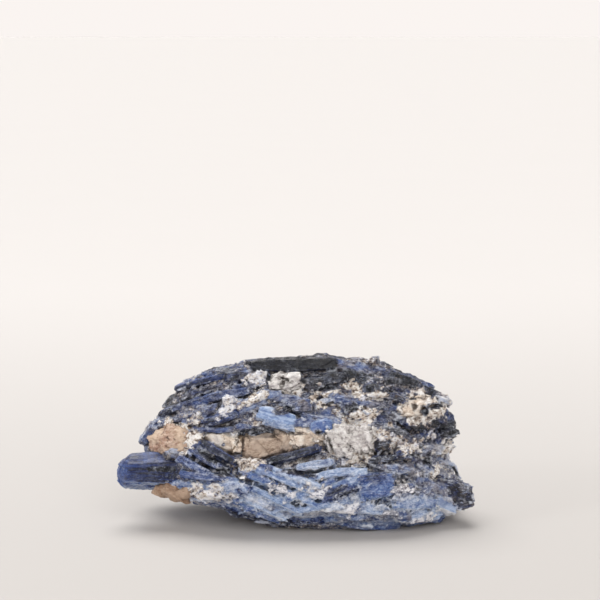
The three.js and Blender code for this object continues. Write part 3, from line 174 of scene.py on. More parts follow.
    [13.25, 17.14, 30.39, 0.998, 0.046, 0.037, -0.059, 0.794, 0.605, 17.04, 3.11, 3.73, 0.75, 0.75, -0.426, 0.267, 0.7, 0.8, 0.318, 0.45, 0, 0.72, 0, 0.3],
    [34.26, 14.29, 31.27, 0.72, -0.426, -0.548, 0.674, 0.618, 0.404, 13.08, 4.48, 3.36, 0.75, 0.75, 0.394, -0.328, 0.2, 0.8, 0.662, 0.45, 0, 0.72, 0, 0.3],
    [-30.08, 5.98, 36.82, 0.73, 0.49, 0.477, -0.684, 0.509, 0.523, 9.91, 3.5, 3.09, 0.75, 0.75, -0.36, 0.437, 0.2, 0.7, 0.383, 0.45, 0, 0.72, 0, 0.3],
    [-8.25, 10.66, 37.3, 0.977, -0.106, 0.187, -0.042, 0.76, 0.649, 14.29, 4.66, 3.07, 0.75, 0.75, 0.484, 0.174, 0.7, 0.8, 0.65, 0.45, 0, 0.72, 0, 0.3],
    [18.63, 11.85, 37.31, 0.998, 0.055, -0.025, -0.031, 0.826, 0.564, 13.93, 4.22, 3.81, 0.75, 0.75, 0.457, 0.251, 0.2, 0.7, 0.677, 0.45, 0, 0.72, 0, 0.3],
    [32.68, 10.46, 36.57, 0.739, -0.564, -0.368, 0.669, 0.68, 0.301, 10.68, 5.22, 3.2, 0.75, 0.75, -0.205, 0.318, 0.78, 0.05, 0.221, 0.45, 0, 0.72, 0, 0.3],
    [-20.2, 3.11, 41.06, 0.971, 0.147, 0.189, -0.201, 0.069, 0.977, 11.27, 5.19, 3.51, 0.75, 0.75, -0.226, 0.382, 0.42, 0.3, 0.566, 0.45, 0, 0.72, 0, 0.3],
    [-1.9, 7.08, 42.61, 0.962, -0.123, 0.245, -0.082, 0.724, 0.685, 13.76, 3.48, 3.28, 0.75, 0.75, 0.438, 0.03, 0.6, 0.05, 0.322, 0.45, 0, 0.72, 0, 0.3],
    [28.04, 2.83, 41.6, 0.949, -0.043, -0.313, 0.316, 0.134, 0.939, 13.44, 4.42, 3.05, 0.75, 0.75, 0.126, -0.421, 0.5, 0.05, 0.451, 0.45, 0, 0.72, 0, 0.3],
    [-22.7, 6.92, 39.29, 0.975, -0.071, 0.209, -0.07, 0.801, 0.595, 11.17, 4.5, 3, 0.75, 0.75, 0.341, 0.306, 0.5, 0.6, 0.598, 0.45, 0, 0.72, 0, 0.3],
    [-17.82, 9.92, 37.45, 0.983, -0.046, 0.176, -0.069, 0.8, 0.596, 12, 3.5, 3, 0.75, 0.75, 0.38, 0.417, 0.25, 0.2, 0.248, 0.45, 0, 0.72, 0, 0.3],
    [-5.84, 5.52, 43.54, 0.99, -0.042, 0.139, -0.05, 0.799, 0.599, 15, 4, 3.5, 0.75, 0.75, -0.155, 0.128, 0.3, 0.4, 0.594, 0.45, 0, 0.72, 0, 0.3],
    [4.2, 5.53, 43.99, 0.993, 0.117, -0.032, -0.074, 0.796, 0.6, 13.79, 4.5, 3.5, 0.75, 0.75, 0.321, 0.139, 0.6, 0.6, 0.346, 0.45, 0, 0.72, 0, 0.3],
    [13.84, 5.29, 43.75, 0.987, 0.053, -0.155, 0.082, 0.659, 0.748, 12.23, 4, 3, 0.75, 0.75, 0.398, -0.298, 0.45, 0.5, 0.385, 0.45, 0, 0.72, 0, 0.3],
    [20.94, 6.67, 43.22, 0.955, 0.109, -0.277, 0.186, 0.51, 0.84, 11.64, 4, 3, 0.75, 0.75, -0.394, 0.329, 0.2, 0.3, 0.591, 0.45, 0, 0.72, 0, 0.3],
    [30.21, 7.03, 40.18, 0.938, 0.006, -0.346, 0.319, 0.372, 0.872, 10.51, 4, 3, 0.75, 0.75, -0.482, -0.219, 0.55, 0.6, 0.335, 0.45, 0, 0.72, 0, 0.3],
    [34.23, 8.87, 37.88, 0.902, 0.112, -0.417, 0.333, 0.433, 0.837, 9.55, 4, 3, 0.75, 0.75, -0.079, -0.408, 0.3, 0.5, 0.448, 0.45, 0, 0.72, 0, 0.3],
    [-1.85, 10.92, 37.44, 0.998, 0.04, 0.043, -0.058, 0.799, 0.599, 13, 4, 3, 0.75, 0.75, -0.017, 0.034, 0.1, 0.3, 0.594, 0.45, 0, 0.72, 0, 0.3],
    [12.09, 11.92, 37.35, 0.99, 0.109, -0.088, -0.035, 0.801, 0.598, 12, 4, 3, 0.75, 0.75, -0.271, 0.396, 0.7, 0.4, 0.259, 0.45, 0, 0.72, 0, 0.3],
    [-28.84, 9.87, 34.65, 0.836, 0.235, 0.496, -0.446, 0.818, 0.364, 10, 4, 3, 0.75, 0.75, -0.094, -0.081, 0.4, 0.5, 0.302, 0.45, 0, 0.72, 0, 0.3],
    [-39.82, 5.77, 24.34, 0.515, -0.112, 0.85, -0.824, 0.206, 0.527, 7.42, 4, 3.5, 0.75, 0.75, 0.086, 0.112, 0.5, 0.6, 0.528, 0.45, 0, 0.72, 0, 0.3],
    [-36.95, 11.96, 17.03, 0.88, 0.313, 0.358, -0.439, 0.825, 0.356, 10, 4.5, 3.5, 0.75, 0.75, 0.146, 0.155, 0.3, 0.2, 0.279, 0.45, 0, 0.72, 0, 0.3],
    [-25.39, 14.94, 29.21, 0.867, 0.239, 0.436, -0.417, 0.828, 0.375, 9, 4, 3, 0.75, 0.75, 0.444, 0.291, 0.6, 0.5, 0.278, 0.45, 0, 0.72, 0, 0.3],
    [-31.08, 8.14, 33.72, 0.869, 0.246, 0.429, -0.419, 0.828, 0.373, 7.53, 3.5, 3, 0.75, 0.75, 0.087, -0.147, 0.2, 0.3, 0.212, 0.45, 0, 0.72, 0, 0.3],
    [-34.02, 15.28, 12.37, 0.945, 0.212, -0.251, -0.316, 0.381, -0.869, 10, 4.5, 3.5, 0.75, 0.75, 0.091, -0.255, 0.5, 0.3, 0.462, 0.45, 0, 0.72, 0, 0.3],
    [-22.47, 18.4, 22.82, 0.864, 0.163, 0.476, -0.379, 0.833, 0.404, 11, 4, 3.5, 0.75, 0.75, 0.219, 0.34, 0.15, 0.2, 0.456, 0.45, 0, 0.72, 0, 0.3],
    [-39.83, 4.25, 14.36, 0.548, -0.767, -0.334, -0.588, -0.069, -0.806, 7.53, 4, 3.5, 0.75, 0.75, -0.381, -0.333, 0.7, 0.4, 0.227, 0.45, 0, 0.72, 0, 0.3],
    [40.8, 4.4, 24.74, 0.706, -0.149, -0.692, 0.594, 0.657, 0.465, 7.09, 4, 3.5, 0.75, 0.75, 0.16, 0.18, 0.2, 0.4, 0.234, 0.45, 0, 0.72, 0, 0.3],
    [39.3, 13.14, 17.21, 0.694, -0.4, -0.598, 0.675, 0.649, 0.35, 9.85, 4.5, 3.5, 0.75, 0.75, 0.186, -0.498, 0.6, 0.3, 0.507, 0.45, 0, 0.72, 0, 0.3],
    [32.79, 16.78, 28.99, 0.682, -0.093, -0.726, 0.597, 0.644, 0.478, 9, 4, 3, 0.75, 0.75, 0.149, -0.339, 0.4, 0.6, 0.326, 0.45, 0, 0.72, 0, 0.3],
    [39.11, 6.09, 33.89, 0.716, -0.171, -0.677, 0.593, 0.662, 0.46, 7, 3.5, 3, 0.75, 0.75, 0.181, 0.391, 0.1, 0.3, 0.566, 0.45, 0, 0.72, 0, 0.3],
    [42.63, 8.62, 9.12, 0.593, 0.037, -0.804, 0.625, 0.609, 0.489, 9.59, 4.5, 3.5, 0.75, 0.75, 0.067, -0.481, 0.5, 0.4, 0.2, 0.45, 0, 0.72, 0, 0.3],
    [41.58, 3.55, 17.78, 0.187, 0.89, -0.415, 0.973, -0.11, 0.202, 8.22, 4, 3.5, 0.75, 0.75, -0.391, 0.421, 0.35, 0.7, 0.315, 0.45, 0, 0.72, 0, 0.3],
    [41.77, -6.59, 32.43, 0.721, 0.455, -0.523, 0.62, -0.761, 0.193, 6.89, 3.5, 3, 0.75, 0.75, 0.404, 0.459, 0.5, 0.8, 0.295, 0.45, 0, 0.72, 0, 0.3],
    [32.39, 21.91, 11.87, 0.924, -0.274, -0.266, 0.294, 0.955, 0.038, 11, 4.5, 3.5, 0.75, 0.75, -0.092, 0.459, 0.25, 0.3, 0.354, 0.45, 0, 0.72, 0, 0.3],
])
# name, slot, kind, then the same sizes as above
GRAINS = [
    ('feldspar_nodule_left', 'feldspar_pink', 3, [-34.74, -9.74, 24.71, 0.812, -0.546, 0.206, -0.574, -0.812, 0.109, 6.59, 5.41, 5, 0.7, 0.7, 0, 0]),
    ('feldspar_wedge_left', 'feldspar_cream', 6, [-21.04, -14.71, 26.26, 0.908, -0.317, -0.274, -0.26, -0.939, 0.223, 6.94, 3.75, 3.5, 0.35, 0.95, 0, 0]),
    ('feldspar_sliver', 'feldspar_brown', 5, [-16.52, -17.38, 26.13, -0.531, -0.372, -0.761, 0.178, -0.927, 0.329, 4.03, 1.2, 2.5, 0.8, 0.8, 0, 0]),
    ('feldspar_block_centre', 'feldspar_tan', 1, [-7.75, -16.64, 25.11, 0.998, -0.013, 0.059, -0.021, -0.99, 0.138, 7.81, 5.4, 4, 0.75, 0.95, 0, 0]),
    ('feldspar_wedge_right', 'feldspar_cream', 6, [3.87, -16.62, 27.08, 0.995, 0.052, 0.09, 0.042, -0.993, 0.108, 5.81, 4.35, 3.5, 0.95, 0.4, 0, 0]),
    ('feldspar_under_blade', 'feldspar_orange', 4, [-34.91, -13.89, 11.85, 0.911, -0.402, -0.086, -0.411, -0.892, -0.189, 8.2, 3.19, 4.5, 0.5, 0.85, 0, 0]),
    ('quartz_patch_middle', 'quartz_white', 2, [16.06, -17.74, 26.91, 0.998, 0.059, -0.013, 0.06, -0.989, 0.139, 6.8, 4.65, 3.5, 0.85, 0.85, 0, 0]),
    ('quartz_cell_top', 'quartz_white', 6, [-2.76, -7.57, 42.11, 0.997, 0.045, 0.059, 0.032, -0.977, 0.21, 4.4, 3.16, 3, 0.9, 0.9, 0, 0]),
    ('feldspar_patch_right', 'feldspar_cream', 6, [36.58, -7.21, 34.06, 0.843, 0.516, -0.153, 0.538, -0.822, 0.19, 8.72, 4.07, 4, 0.8, 0.8, 0, 0]),
]
# x, y, z, half sizes along x, y, z, turn about the view axis (deg): small holes and slots, carved and painted
# near-black inside as painted shade
PITS = [
    (-7.21, -9, 44.11, 0.66, 2.2, 1.35, 0),
    (-3.25, -10.6, 42.46, 1.2, 1.6, 0.72, 60),
    (-2.96, -9.6, 43.77, 1.5, 1.6, 0.45, -20),
    (-3.23, -15.8, 35.74, 2.7, 2.2, 0.96, 8),
    (6.9, -19.6, 29.71, 0.66, 2.5, 0.54, 0),
    (29.21, -8.2, 42.45, 1.8, 2.2, 0.54, -5),
    (39.72, -16.6, 19.87, 2.1, 2.4, 0.9, -35),
    (41.88, -10.8, 35.78, 2.7, 2.8, 0.6, 0),
    (38.21, -13.2, 34.76, 1.2, 2.8, 1.5, 30),
    (35.26, -13.6, 36.17, 0.75, 2.5, 1.05, 0),
    (-19.86, -24.6, 19.05, 3.6, 2.6, 0.96, -8),
    (22.53, -22.4, 4.18, 2.7, 2, 0.6, -5),
    (-10.45, -18.9, 29.43, 5.1, 3.6, 1.38, 4),
    (-25.72, -21.2, 23.59, 3, 2, 0.48, -32),
    (14.77, -16.4, 35.55, 2.4, 1.6, 0.45, 10),
    (10.5, -11.4, 41.41, 2.7, 1.8, 0.48, 8),
    (29.24, -18, 29.95, 2.7, 2, 0.54, -20),
    (-39.04, -17, 18.23, 3, 1.2, 0.36, 0),
    (1.68, -26.2, 19.11, 3.6, 1.6, 0.39, -10),
    (15.43, -27.2, 13.48, 3, 1.6, 0.42, 20),
    (31.97, -22.8, 17.13, 2.4, 1.8, 0.48, -15),
]
N_FRONT = 99
LIT_TIP_X = -50.2      # where the painted light on the front of the clean blade is brightest
# x, y, z, face normal, half sizes, thickness, turn (deg), tone, warmth: granular crust of the other minerals
CRUST = [
    (39.24, -10.9, 34.75, 0.419, -0.855, 0.305, 7.5, 3.9, 2.6, -10, 0.75, 0.7),
    (35.86, -13.7, 32.93, 0.305, -0.877, 0.372, 2.4, 1.5, 2.6, 0, 0.85, 0.8),
    (16.17, -19.3, 27.58, 0.063, -0.89, 0.452, 7.8, 4.8, 2.4, 0, 0.8, 0.45),
    (15.62, -17.7, 32.26, 0.044, -0.855, 0.517, 3.3, 1.5, 1.8, 0, 0.8, 0.8),
    (7.56, -12.9, 39.02, 0.006, -0.799, 0.601, 3.3, 1.5, 1.8, -10, 0.62, 0.8),
    (18.73, -9.8, 42.6, 0.065, -0.728, 0.682, 2.1, 2.7, 2, 0, 0.5, 1),
    (-2.37, -9.6, 42.28, -0.011, -0.754, 0.657, 3.9, 3, 2, 0, 0.8, 0.5),
    (6.26, -26.7, 15.71, 0.015, -0.978, 0.206, 3.9, 1.5, 1.4, 15, 0.72, 0.45),
    (8.88, -25.5, 7.78, 0.001, -0.869, -0.494, 2.7, 1.8, 1.8, 20, 0.8, 0.55),
    (28.31, -22.5, 5.24, 0.141, -0.845, -0.516, 3, 1.8, 1.8, 0, 0.45, 0.9),
    (42.67, -14.4, 17.58, 0.728, -0.649, 0.222, 2.4, 1.8, 1.6, 0, 0.7, 0.5),
    (-21.96, -23.4, 11.12, -0.225, -0.831, -0.509, 5.1, 2.4, 2.4, 10, 0.6, 0.75),
    (-13.46, -12.1, 39.77, -0.067, -0.788, 0.612, 1.2, 2.4, 1.4, 0, 0.68, 0.5),
    (16.67, -22.7, 23.3, 0.074, -0.901, 0.428, 3.6, 1.5, 1.8, 0, 0.62, 0.7),
    (-31.69, -17.1, 26.26, -0.315, -0.863, 0.394, 2.7, 3.3, 2.2, 0, 0.8, 0.7),
    (-36.39, -10.9, 30.62, -0.45, -0.575, 0.683, 3.3, 1.2, 1.8, 0, 0.85, 0.8),
    (-25.45, -22.6, 11.52, -0.28, -0.826, -0.489, 5.1, 3, 2.4, 0, 0.88, 0.15),
    (46.07, -7.7, 22.1, 0.926, -0.335, -0.175, 2.7, 2.4, 1.8, 0, 0.8, 0.15),
    (-18.69, -13.5, 37.37, -0.116, -0.809, 0.576, 2.4, 2.7, 1.8, 0, 0.92, 0.05),
    (-10.59, -8.6, 43.89, -0.045, -0.694, 0.718, 3.3, 1.2, 1.6, 0, 0.92, 0.1),
    (36.49, -7.1, 40.61, 0.282, -0.514, 0.81, 2.4, 1.8, 1.8, 0, 0.8, 0.6),
    (46.95, -2.1, 36.05, 0.852, -0.106, 0.513, 1.8, 1.5, 1.8, 0, 0.95, 0.2),
    (27.79, -18.4, 27.38, 0.182, -0.903, 0.389, 4.2, 3, 1.6, 20, 0.66, 0.25),
    (23.66, -11.5, 39.34, 0.096, -0.773, 0.627, 4.2, 2.4, 1.4, 0, 0.68, 0.25),
    (-12.69, -23.7, 21.19, -0.064, -0.893, 0.445, 4.2, 2.7, 1.8, 0, 0.5, 0.35),
    (33.65, -17.6, 25.73, 0.306, -0.902, 0.304, 4.8, 2.7, 1.6, 20, 0.66, 0.2),
    (14.62, -25.6, 8.39, 0.031, -0.944, -0.328, 3.9, 2.1, 1.6, 0, 0.75, 0.2),
    (32.84, -23.3, 13.12, 0.298, -0.904, 0.307, 2.7, 2.1, 1.4, 0, 0.5, 0.3),
    (10.51, -10.8, 41.3, 0.018, -0.748, 0.664, 4.2, 1.5, 1.4, -5, 0.7, 0.45),
    (-9.94, -13.1, 38.77, -0.048, -0.806, 0.59, 2.4, 1.8, 1.4, 0, 0.75, 0.3),
    (-28.95, -12.7, 34.55, -0.285, -0.794, 0.537, 4.2, 1.8, 1.4, 10, 0.7, 0.2),
    (20.59, -16.4, 32.89, 0.081, -0.863, 0.498, 4.2, 2.4, 1.6, 0, 0.74, 0.4),
    (42.68, -12.9, 27.7, 0.566, -0.789, 0.239, 2.7, 2.1, 1.4, 0, 0.8, 0.05),
    (-4.05, -27, 12.56, -0.027, -0.998, 0.051, 3.6, 1.5, 1.2, -25, 0.8, 0.1),
    (36.65, -18.9, 3.73, 0.251, -0.635, -0.73, 4.2, 1.8, 1.4, 0, 0.8, 0.05),
    (12.09, 13.62, 39.42, -0.05, 0.799, 0.599, 5.26, 3.26, 2.55, -17.3, 0.49, 0.1),
    (4.8, 28.21, 19.09, 0.012, 0.951, 0.309, 4, 3.11, 1.76, -1.4, 0.39, 0.3),
    (26.74, 16.36, 36.97, -0.05, 0.799, 0.599, 3.68, 2.23, 1.72, -8.3, 0.59, 0.3),
    (-10.98, 20.95, 27.72, -0.05, 0.799, 0.599, 4.16, 2.59, 2.58, 24.7, 0.73, 0.3),
    (-15.64, 28.06, 14.41, -0.14, 0.987, -0.081, 6.06, 1.49, 1.47, -6, 0.78, 0.8),
    (-2.01, 24.75, 23.41, -0.05, 0.799, 0.599, 3.13, 2.38, 1.69, -31.8, 0.37, 0.8),
    (6.26, 15.91, 35.87, -0.05, 0.799, 0.599, 2.04, 3.26, 2.52, -31.5, 0.64, 0.1),
    (27.75, 23.36, 4.41, 0.138, 0.807, -0.575, 5.24, 2.7, 2.55, -10.3, 0.39, 0.1),
    (-4.81, 24.47, 23.54, -0.05, 0.799, 0.599, 5.71, 3.02, 2.16, 3.5, 0.48, 0.1),
    (20.63, 22.2, 28.69, -0.05, 0.799, 0.599, 3.45, 2.46, 2.01, 6.1, 0.68, 0.3),
    (-28.37, 11.98, 38.21, -0.294, 0.83, 0.473, 5.39, 2.17, 2.37, -21.4, 0.6, 0.8),
    (-21.27, 20.47, 27.51, -0.091, 0.797, 0.598, 4.73, 1.94, 2.29, 11.5, 0.63, 0.3),
    (25.63, 27.21, 12.65, 0.212, 0.972, 0.101, 3.04, 2.33, 1.5, 23.9, 0.57, 0.8),
    (14.73, 22.75, 27.47, -0.05, 0.799, 0.599, 4.39, 2.46, 2.12, -25.5, 0.51, 0.8),
    (-18.72, 26.03, 10.4, -0.193, 0.761, -0.62, 5.31, 1.77, 1.47, 12, 0.75, 0.8),
    (-14.05, 16, 34.06, -0.05, 0.799, 0.599, 2.25, 2.79, 2.25, 5.3, 0.57, 0.8),
    (14.81, 23.05, 27.07, -0.05, 0.799, 0.599, 4.36, 3.15, 2.04, 17.6, 0.45, 0.3),
    (-12.79, 27.09, 10.24, -0.125, 0.821, -0.558, 3.46, 1.93, 2.22, 11.2, 0.47, 0.1),
    (21.5, 25.53, 6.59, 0.076, 0.834, -0.546, 4.83, 2.54, 1.69, 36, 0.77, 0.3),
    (9.49, 28.44, 17.67, 0.042, 0.969, 0.244, 3.76, 1.9, 2.2, -12.2, 0.46, 0.1),
    (-4.12, 14.81, 36.48, -0.05, 0.799, 0.599, 2.31, 1.66, 2.28, 18.8, 0.46, 0.8),
    (-33.37, 12.74, 28.8, -0.5, 0.8, 0.33, 3.36, 1.91, 1.47, 30.5, 0.59, 0.1),
    (-3.69, 28.03, 18.89, -0.051, 0.817, 0.574, 2.21, 1.42, 1.77, -19.2, 0.61, 0.5),
    (-24.24, 21.1, 22.38, -0.5, 0.8, 0.33, 4.48, 2.7, 2.54, 31.9, 0.55, 0.5),
    (0.32, 16.96, 33.98, -0.05, 0.799, 0.599, 4.38, 3.35, 2.05, 0.4, 0.63, 0.3),
    (-21.68, 23.52, 8.67, -0.259, 0.657, -0.707, 3.25, 3.22, 1.61, 16.2, 0.48, 0.5),
    (24.54, 26.7, 9.69, 0.153, 0.928, -0.34, 3.68, 1.98, 1.74, -17.8, 0.51, 0.5),
    (-36.97, 16.04, 15.35, -0.5, 0.8, 0.33, 5.12, 3.32, 2.53, 48.7, 0.36, 0.5),
    (30.71, 25.88, 12.46, 0.306, 0.945, 0.116, 5.3, 2.91, 2.49, -36.6, 0.46, 0.5),
    (-27.72, 17.34, 7.36, -0.261, 0.269, -0.927, 4.63, 1.48, 2.22, 8.7, 0.54, 0.3),
    (-3.36, 13.12, 38.79, -0.05, 0.799, 0.599, 3.73, 2.11, 2.32, -11, 0.77, 0.3),
    (13.03, 15.1, 37.52, -0.05, 0.799, 0.599, 2.1, 1.83, 2.3, 24.5, 0.46, 0.1),
]
# x, z, half sizes, shift of tone: lighter and darker parts of the mass
ZONES = [
    (1.1, 48.9, 19.8, 4.5, -0.58),
    (35.4, 42.3, 10.2, 3.9, -0.32),
    (41.7, 29.2, 8.4, 4.8, -0.26),
    (-26.1, 37.6, 15, 7.8, -0.17),
    (-42.5, 16, 18, 8.4, -0.24),
    (1.7, 8.8, 27, 7.5, 0.32),
    (31.3, 7.5, 16.5, 7.8, 0.16),
    (-2.7, 0.6, 15, 2.1, -0.26),
    (26.7, 26.8, 8.4, 4.5, -0.08),
    (16.4, 48.9, 10.2, 2.1, 0.22),
    (7.6, 45, 15, 3, -0.15),
    (48.4, 9.9, 5.4, 4.8, -0.12),
    (-23.3, 22, 6, 4.2, -0.1),
]
# x, z, half sizes, shift of greyness: where the blades are blue and where they are grey
GREYS = [
    (31.1, 37.6, 21, 13.5, 0.55),
    (1.7, 49.5, 21, 4.8, 0.45),
    (1.7, 8.8, 30, 7.8, -0.22),
    (-42.5, 16.6, 13.5, 6.6, -0.2),
    (-23.2, 34.6, 12, 6.6, -0.05),
    (37, 25.6, 12, 6.6, 0.2),
    (1.7, 31.6, 12, 3.6, -0.12),
    (49, 9.9, 5.4, 4.8, 0.3),
]
# x, z, half sizes, strength: places on the grains painted dark brown as painted shade of their slots, holes and seams
SLOT_SHADES = [
    (-10.1, 29.7, 5.7, 1, 1.5),
    (-16.5, 27.2, 0.9, 3.3, 0.5),
    (-14.8, 26.3, 0.5, 2.4, 0.8),
    (-1.2, 25.7, 3.6, 0.9, 0.5),
    (8.1, 27.4, 1.5, 1.5, 0.45),
    (1.7, 29.5, 2.4, 0.7, 0.7),
    (-2.9, 45.3, 1.5, 0.7, 0.85),
    (-0.9, 43.3, 1.2, 0.5, 0.6),
    (-4.6, 43, 0.6, 1.1, 0.5),
]
# broken faces at the back: face normal, distance from the middle of the base
BREAKS = [(-0.5003, 0.8004, 0.3302, 36.4), (0.7497, 0.5997, 0.2799, 44.8), (-0.0499, 0.799, 0.5993, 33.9)]


# ---------------------------------------------------------------- noise
def hsh(i, j=0, k=0, s=0):
    i, j, k = (np.asarray(a).astype(np.int64) for a in (i, j, k))
    x = (i * 73856093) ^ (j * 19349663) ^ (k * 83492791) ^ np.int64(s * 2654435761 % 4294967296)
    x &= 0xFFFFFFFF
    x ^= x >> 13
    x = (x * 0x5BD1E995) & 0xFFFFFFFF
    x ^= x >> 15
    x = (x * 0x27D4EB2D) & 0xFFFFFFFF
    x ^= x >> 13
    return (x & 0xFFFFFF).astype(np.float32) / np.float32(0xFFFFFF)


def n1(x, s=0):
    i = np.floor(x)
    f = (x - i).astype(np.float32)
    f = f * f * (3 - 2 * f)
    return hsh(i, 0, 0, s) * (1 - f) + hsh(i + 1, 0, 0, s) * f


def n3(p, s=0):
    i = np.floor(p)
    f = (p - i).astype(np.float32)
    f = f * f * (3 - 2 * f)
    out = 0
    for a in (0, 1):
        for b in (0, 1):
            for c in (0, 1):
                w = (f[..., 0] if a else 1 - f[..., 0]) * (f[..., 1] if b else 1 - f[..., 1]) * (f[..., 2] if c else 1 - f[..., 2])
                out = out + w * hsh(i[..., 0] + a, i[..., 1] + b, i[..., 2] + c, s)
    return out


def spread(n, size, step, rng):
    """Random lattice of one axis count, stretched over n cells: the matrix that does one axis."""
    x = np.arange(n) * CELL / step
    i = np.floor(x).astype(int)
    f = x - i
    f = f * f * (3 - 2 * f)
    m = np.zeros((n, size), np.float32)
    m[np.arange(n), i] = 1 - f
    m[np.arange(n), i + 1] += f
    return m


def volume_noise(shape, step, rng):
    sizes = [int(n * CELL / step) + 3 for n in shape]
    r = rng.random(sizes, dtype=np.float32)
    for ax, (n, m) in enumerate(zip(shape, sizes)):
        r = np.moveaxis(np.tensordot(spread(n, m, step, rng), r, axes=(1, ax)), 0, ax)
    return r


# ---------------------------------------------------------------- the field
LO = np.array([-56.5, -32.5, -1.2])
HI = np.array([57.0, 34.0, 53.0])
DIM = tuple(int(n) for n in np.ceil((HI - LO) / CELL))
AX = [(LO[k] + np.arange(DIM[k]) * CELL).astype(np.float32) for k in range(3)]
D = np.full(DIM, 4.0, np.float32)
ID = np.zeros(DIM, np.int16)      # 0 is the fine-grained middle


def hull_slice(z, x, y, inset):
    xl, xr = np.interp(z, LEVEL, LEFT), np.interp(z, LEVEL, RIGHT)
    bf, bb = np.interp(z, LEVEL, FRONT), np.interp(z, LEVEL, BACK)
    a = max((xr - xl) / 2 - inset, 1)
    b = np.maximum(np.where(y < 0, bf, bb) - inset, 1)
    q = (np.abs((x - (xl + xr) / 2) / a) ** POWER + np.abs(y / b) ** POWER) ** (1 / POWER)
    return (q - 1) * np.minimum(a, b)


def hull_at(p, inset=0.0):
    z = p[:, 2]
    xl, xr = np.interp(z, LEVEL, LEFT), np.interp(z, LEVEL, RIGHT)
    bf, bb = np.interp(z, LEVEL, FRONT), np.interp(z, LEVEL, BACK)
    a = np.maximum((xr - xl) / 2 - inset, 1)
    b = np.maximum(np.where(p[:, 1] < 0, bf, bb) - inset, 1)
    q = (np.abs((p[:, 0] - (xl + xr) / 2) / a) ** POWER + np.abs(p[:, 1] / b) ** POWER) ** (1 / POWER)
    out = np.maximum((q - 1) * np.minimum(a, b), z - 50.5 + inset)
    for nx, ny, nz, reach in BREAKS:
        out = np.maximum(out, p @ np.array([nx, ny, nz]) - reach + inset)
    return out


rng = np.random.default_rng(SEED)
for k, z in enumerate(AX[2]):
    D[:, :, k] = np.minimum(4, np.maximum(hull_slice(z, AX[0][:, None], AX[1][None, :], 2.2), z - 48.2))
for nx, ny, nz, reach in BREAKS:
    np.maximum(D, np.minimum(4, AX[0][:, None, None] * np.float32(nx) + AX[1][None, :, None] * np.float32(ny) + AX[2][None, None, :] * np.float32(nz) - np.float32(reach - 2.2)), out=D)
D += (volume_noise(DIM, 5.0, rng) - .5) * 2.2
D += (volume_noise(DIM, 1.7, rng) - .5) * 1.5
D += (volume_noise(DIM, 0.8, rng) - .5) * 0.7


WARP = [((volume_noise(DIM, 7.0, rng) - .5) * 2.2 + (volume_noise(DIM, 1.9, rng) - .5) * .75).astype(np.float32) for _ in range(3)]


def cleave(x, y, z, s, size):
    """Broken crystal faces: tilted steps along three crossing directions, about -.5 to .5."""
    r = np.random.default_rng(s)
    out = 0
    for k in range(3):
        d = r.normal(0, 1, (3, 3))
        d /= np.linalg.norm(d, axis=1)[:, None]
        d = (d / size).astype(np.float32)
        q = [x * e[0] + y * e[1] + z * e[2] for e in d]
        h = hsh(np.floor(q[1] * .8), np.floor(q[2] * .6), k, s)
        out = out + (((q[0] + h * 5) % 1) - .5) * (.25 + .75 * ((h * 37) % 1))
    return (out * .6).astype(np.float32)


_x = AX[0][:, None, None] + WARP[0] * .35
_y = AX[1][None, :, None] + WARP[1] * .35
_z = AX[2][None, None, :] + WARP[2] * .35
CLEAVE = cleave(_x, _y, _z, 5, 1.7) + cleave(_x, _y, _z, 6, 3.6) * 1.5
del _x, _y, _z
GRIT = ((volume_noise(DIM, 1.15, rng) - .5) * .8 + (volume_noise(DIM, .62, rng) - .5) * .7).astype(np.float32)


def sub_box(c, r):
    lo = np.maximum(((c - r - LO) / CELL).astype(int), 0)
    hi = np.minimum(((c + r - LO) / CELL).astype(int) + 2, DIM)
    return tuple(slice(a, b) for a, b in zip(lo, hi))


def local(box, c, a, v, n, bend=0.0):
    x = AX[0][box[0]][:, None, None] - np.float32(c[0])
    y = AX[1][box[1]][None, :, None] - np.float32(c[1])
    z = AX[2][box[2]][None, None, :] - np.float32(c[2])
    if bend:
        x, y, z = (k + np.float32(bend) * w[box] for k, w in zip((x, y, z), WARP))
    f = lambda d: x * np.float32(d[0]) + y * np.float32(d[1]) + z * np.float32(d[2])
    return f(a), f(v), f(n)


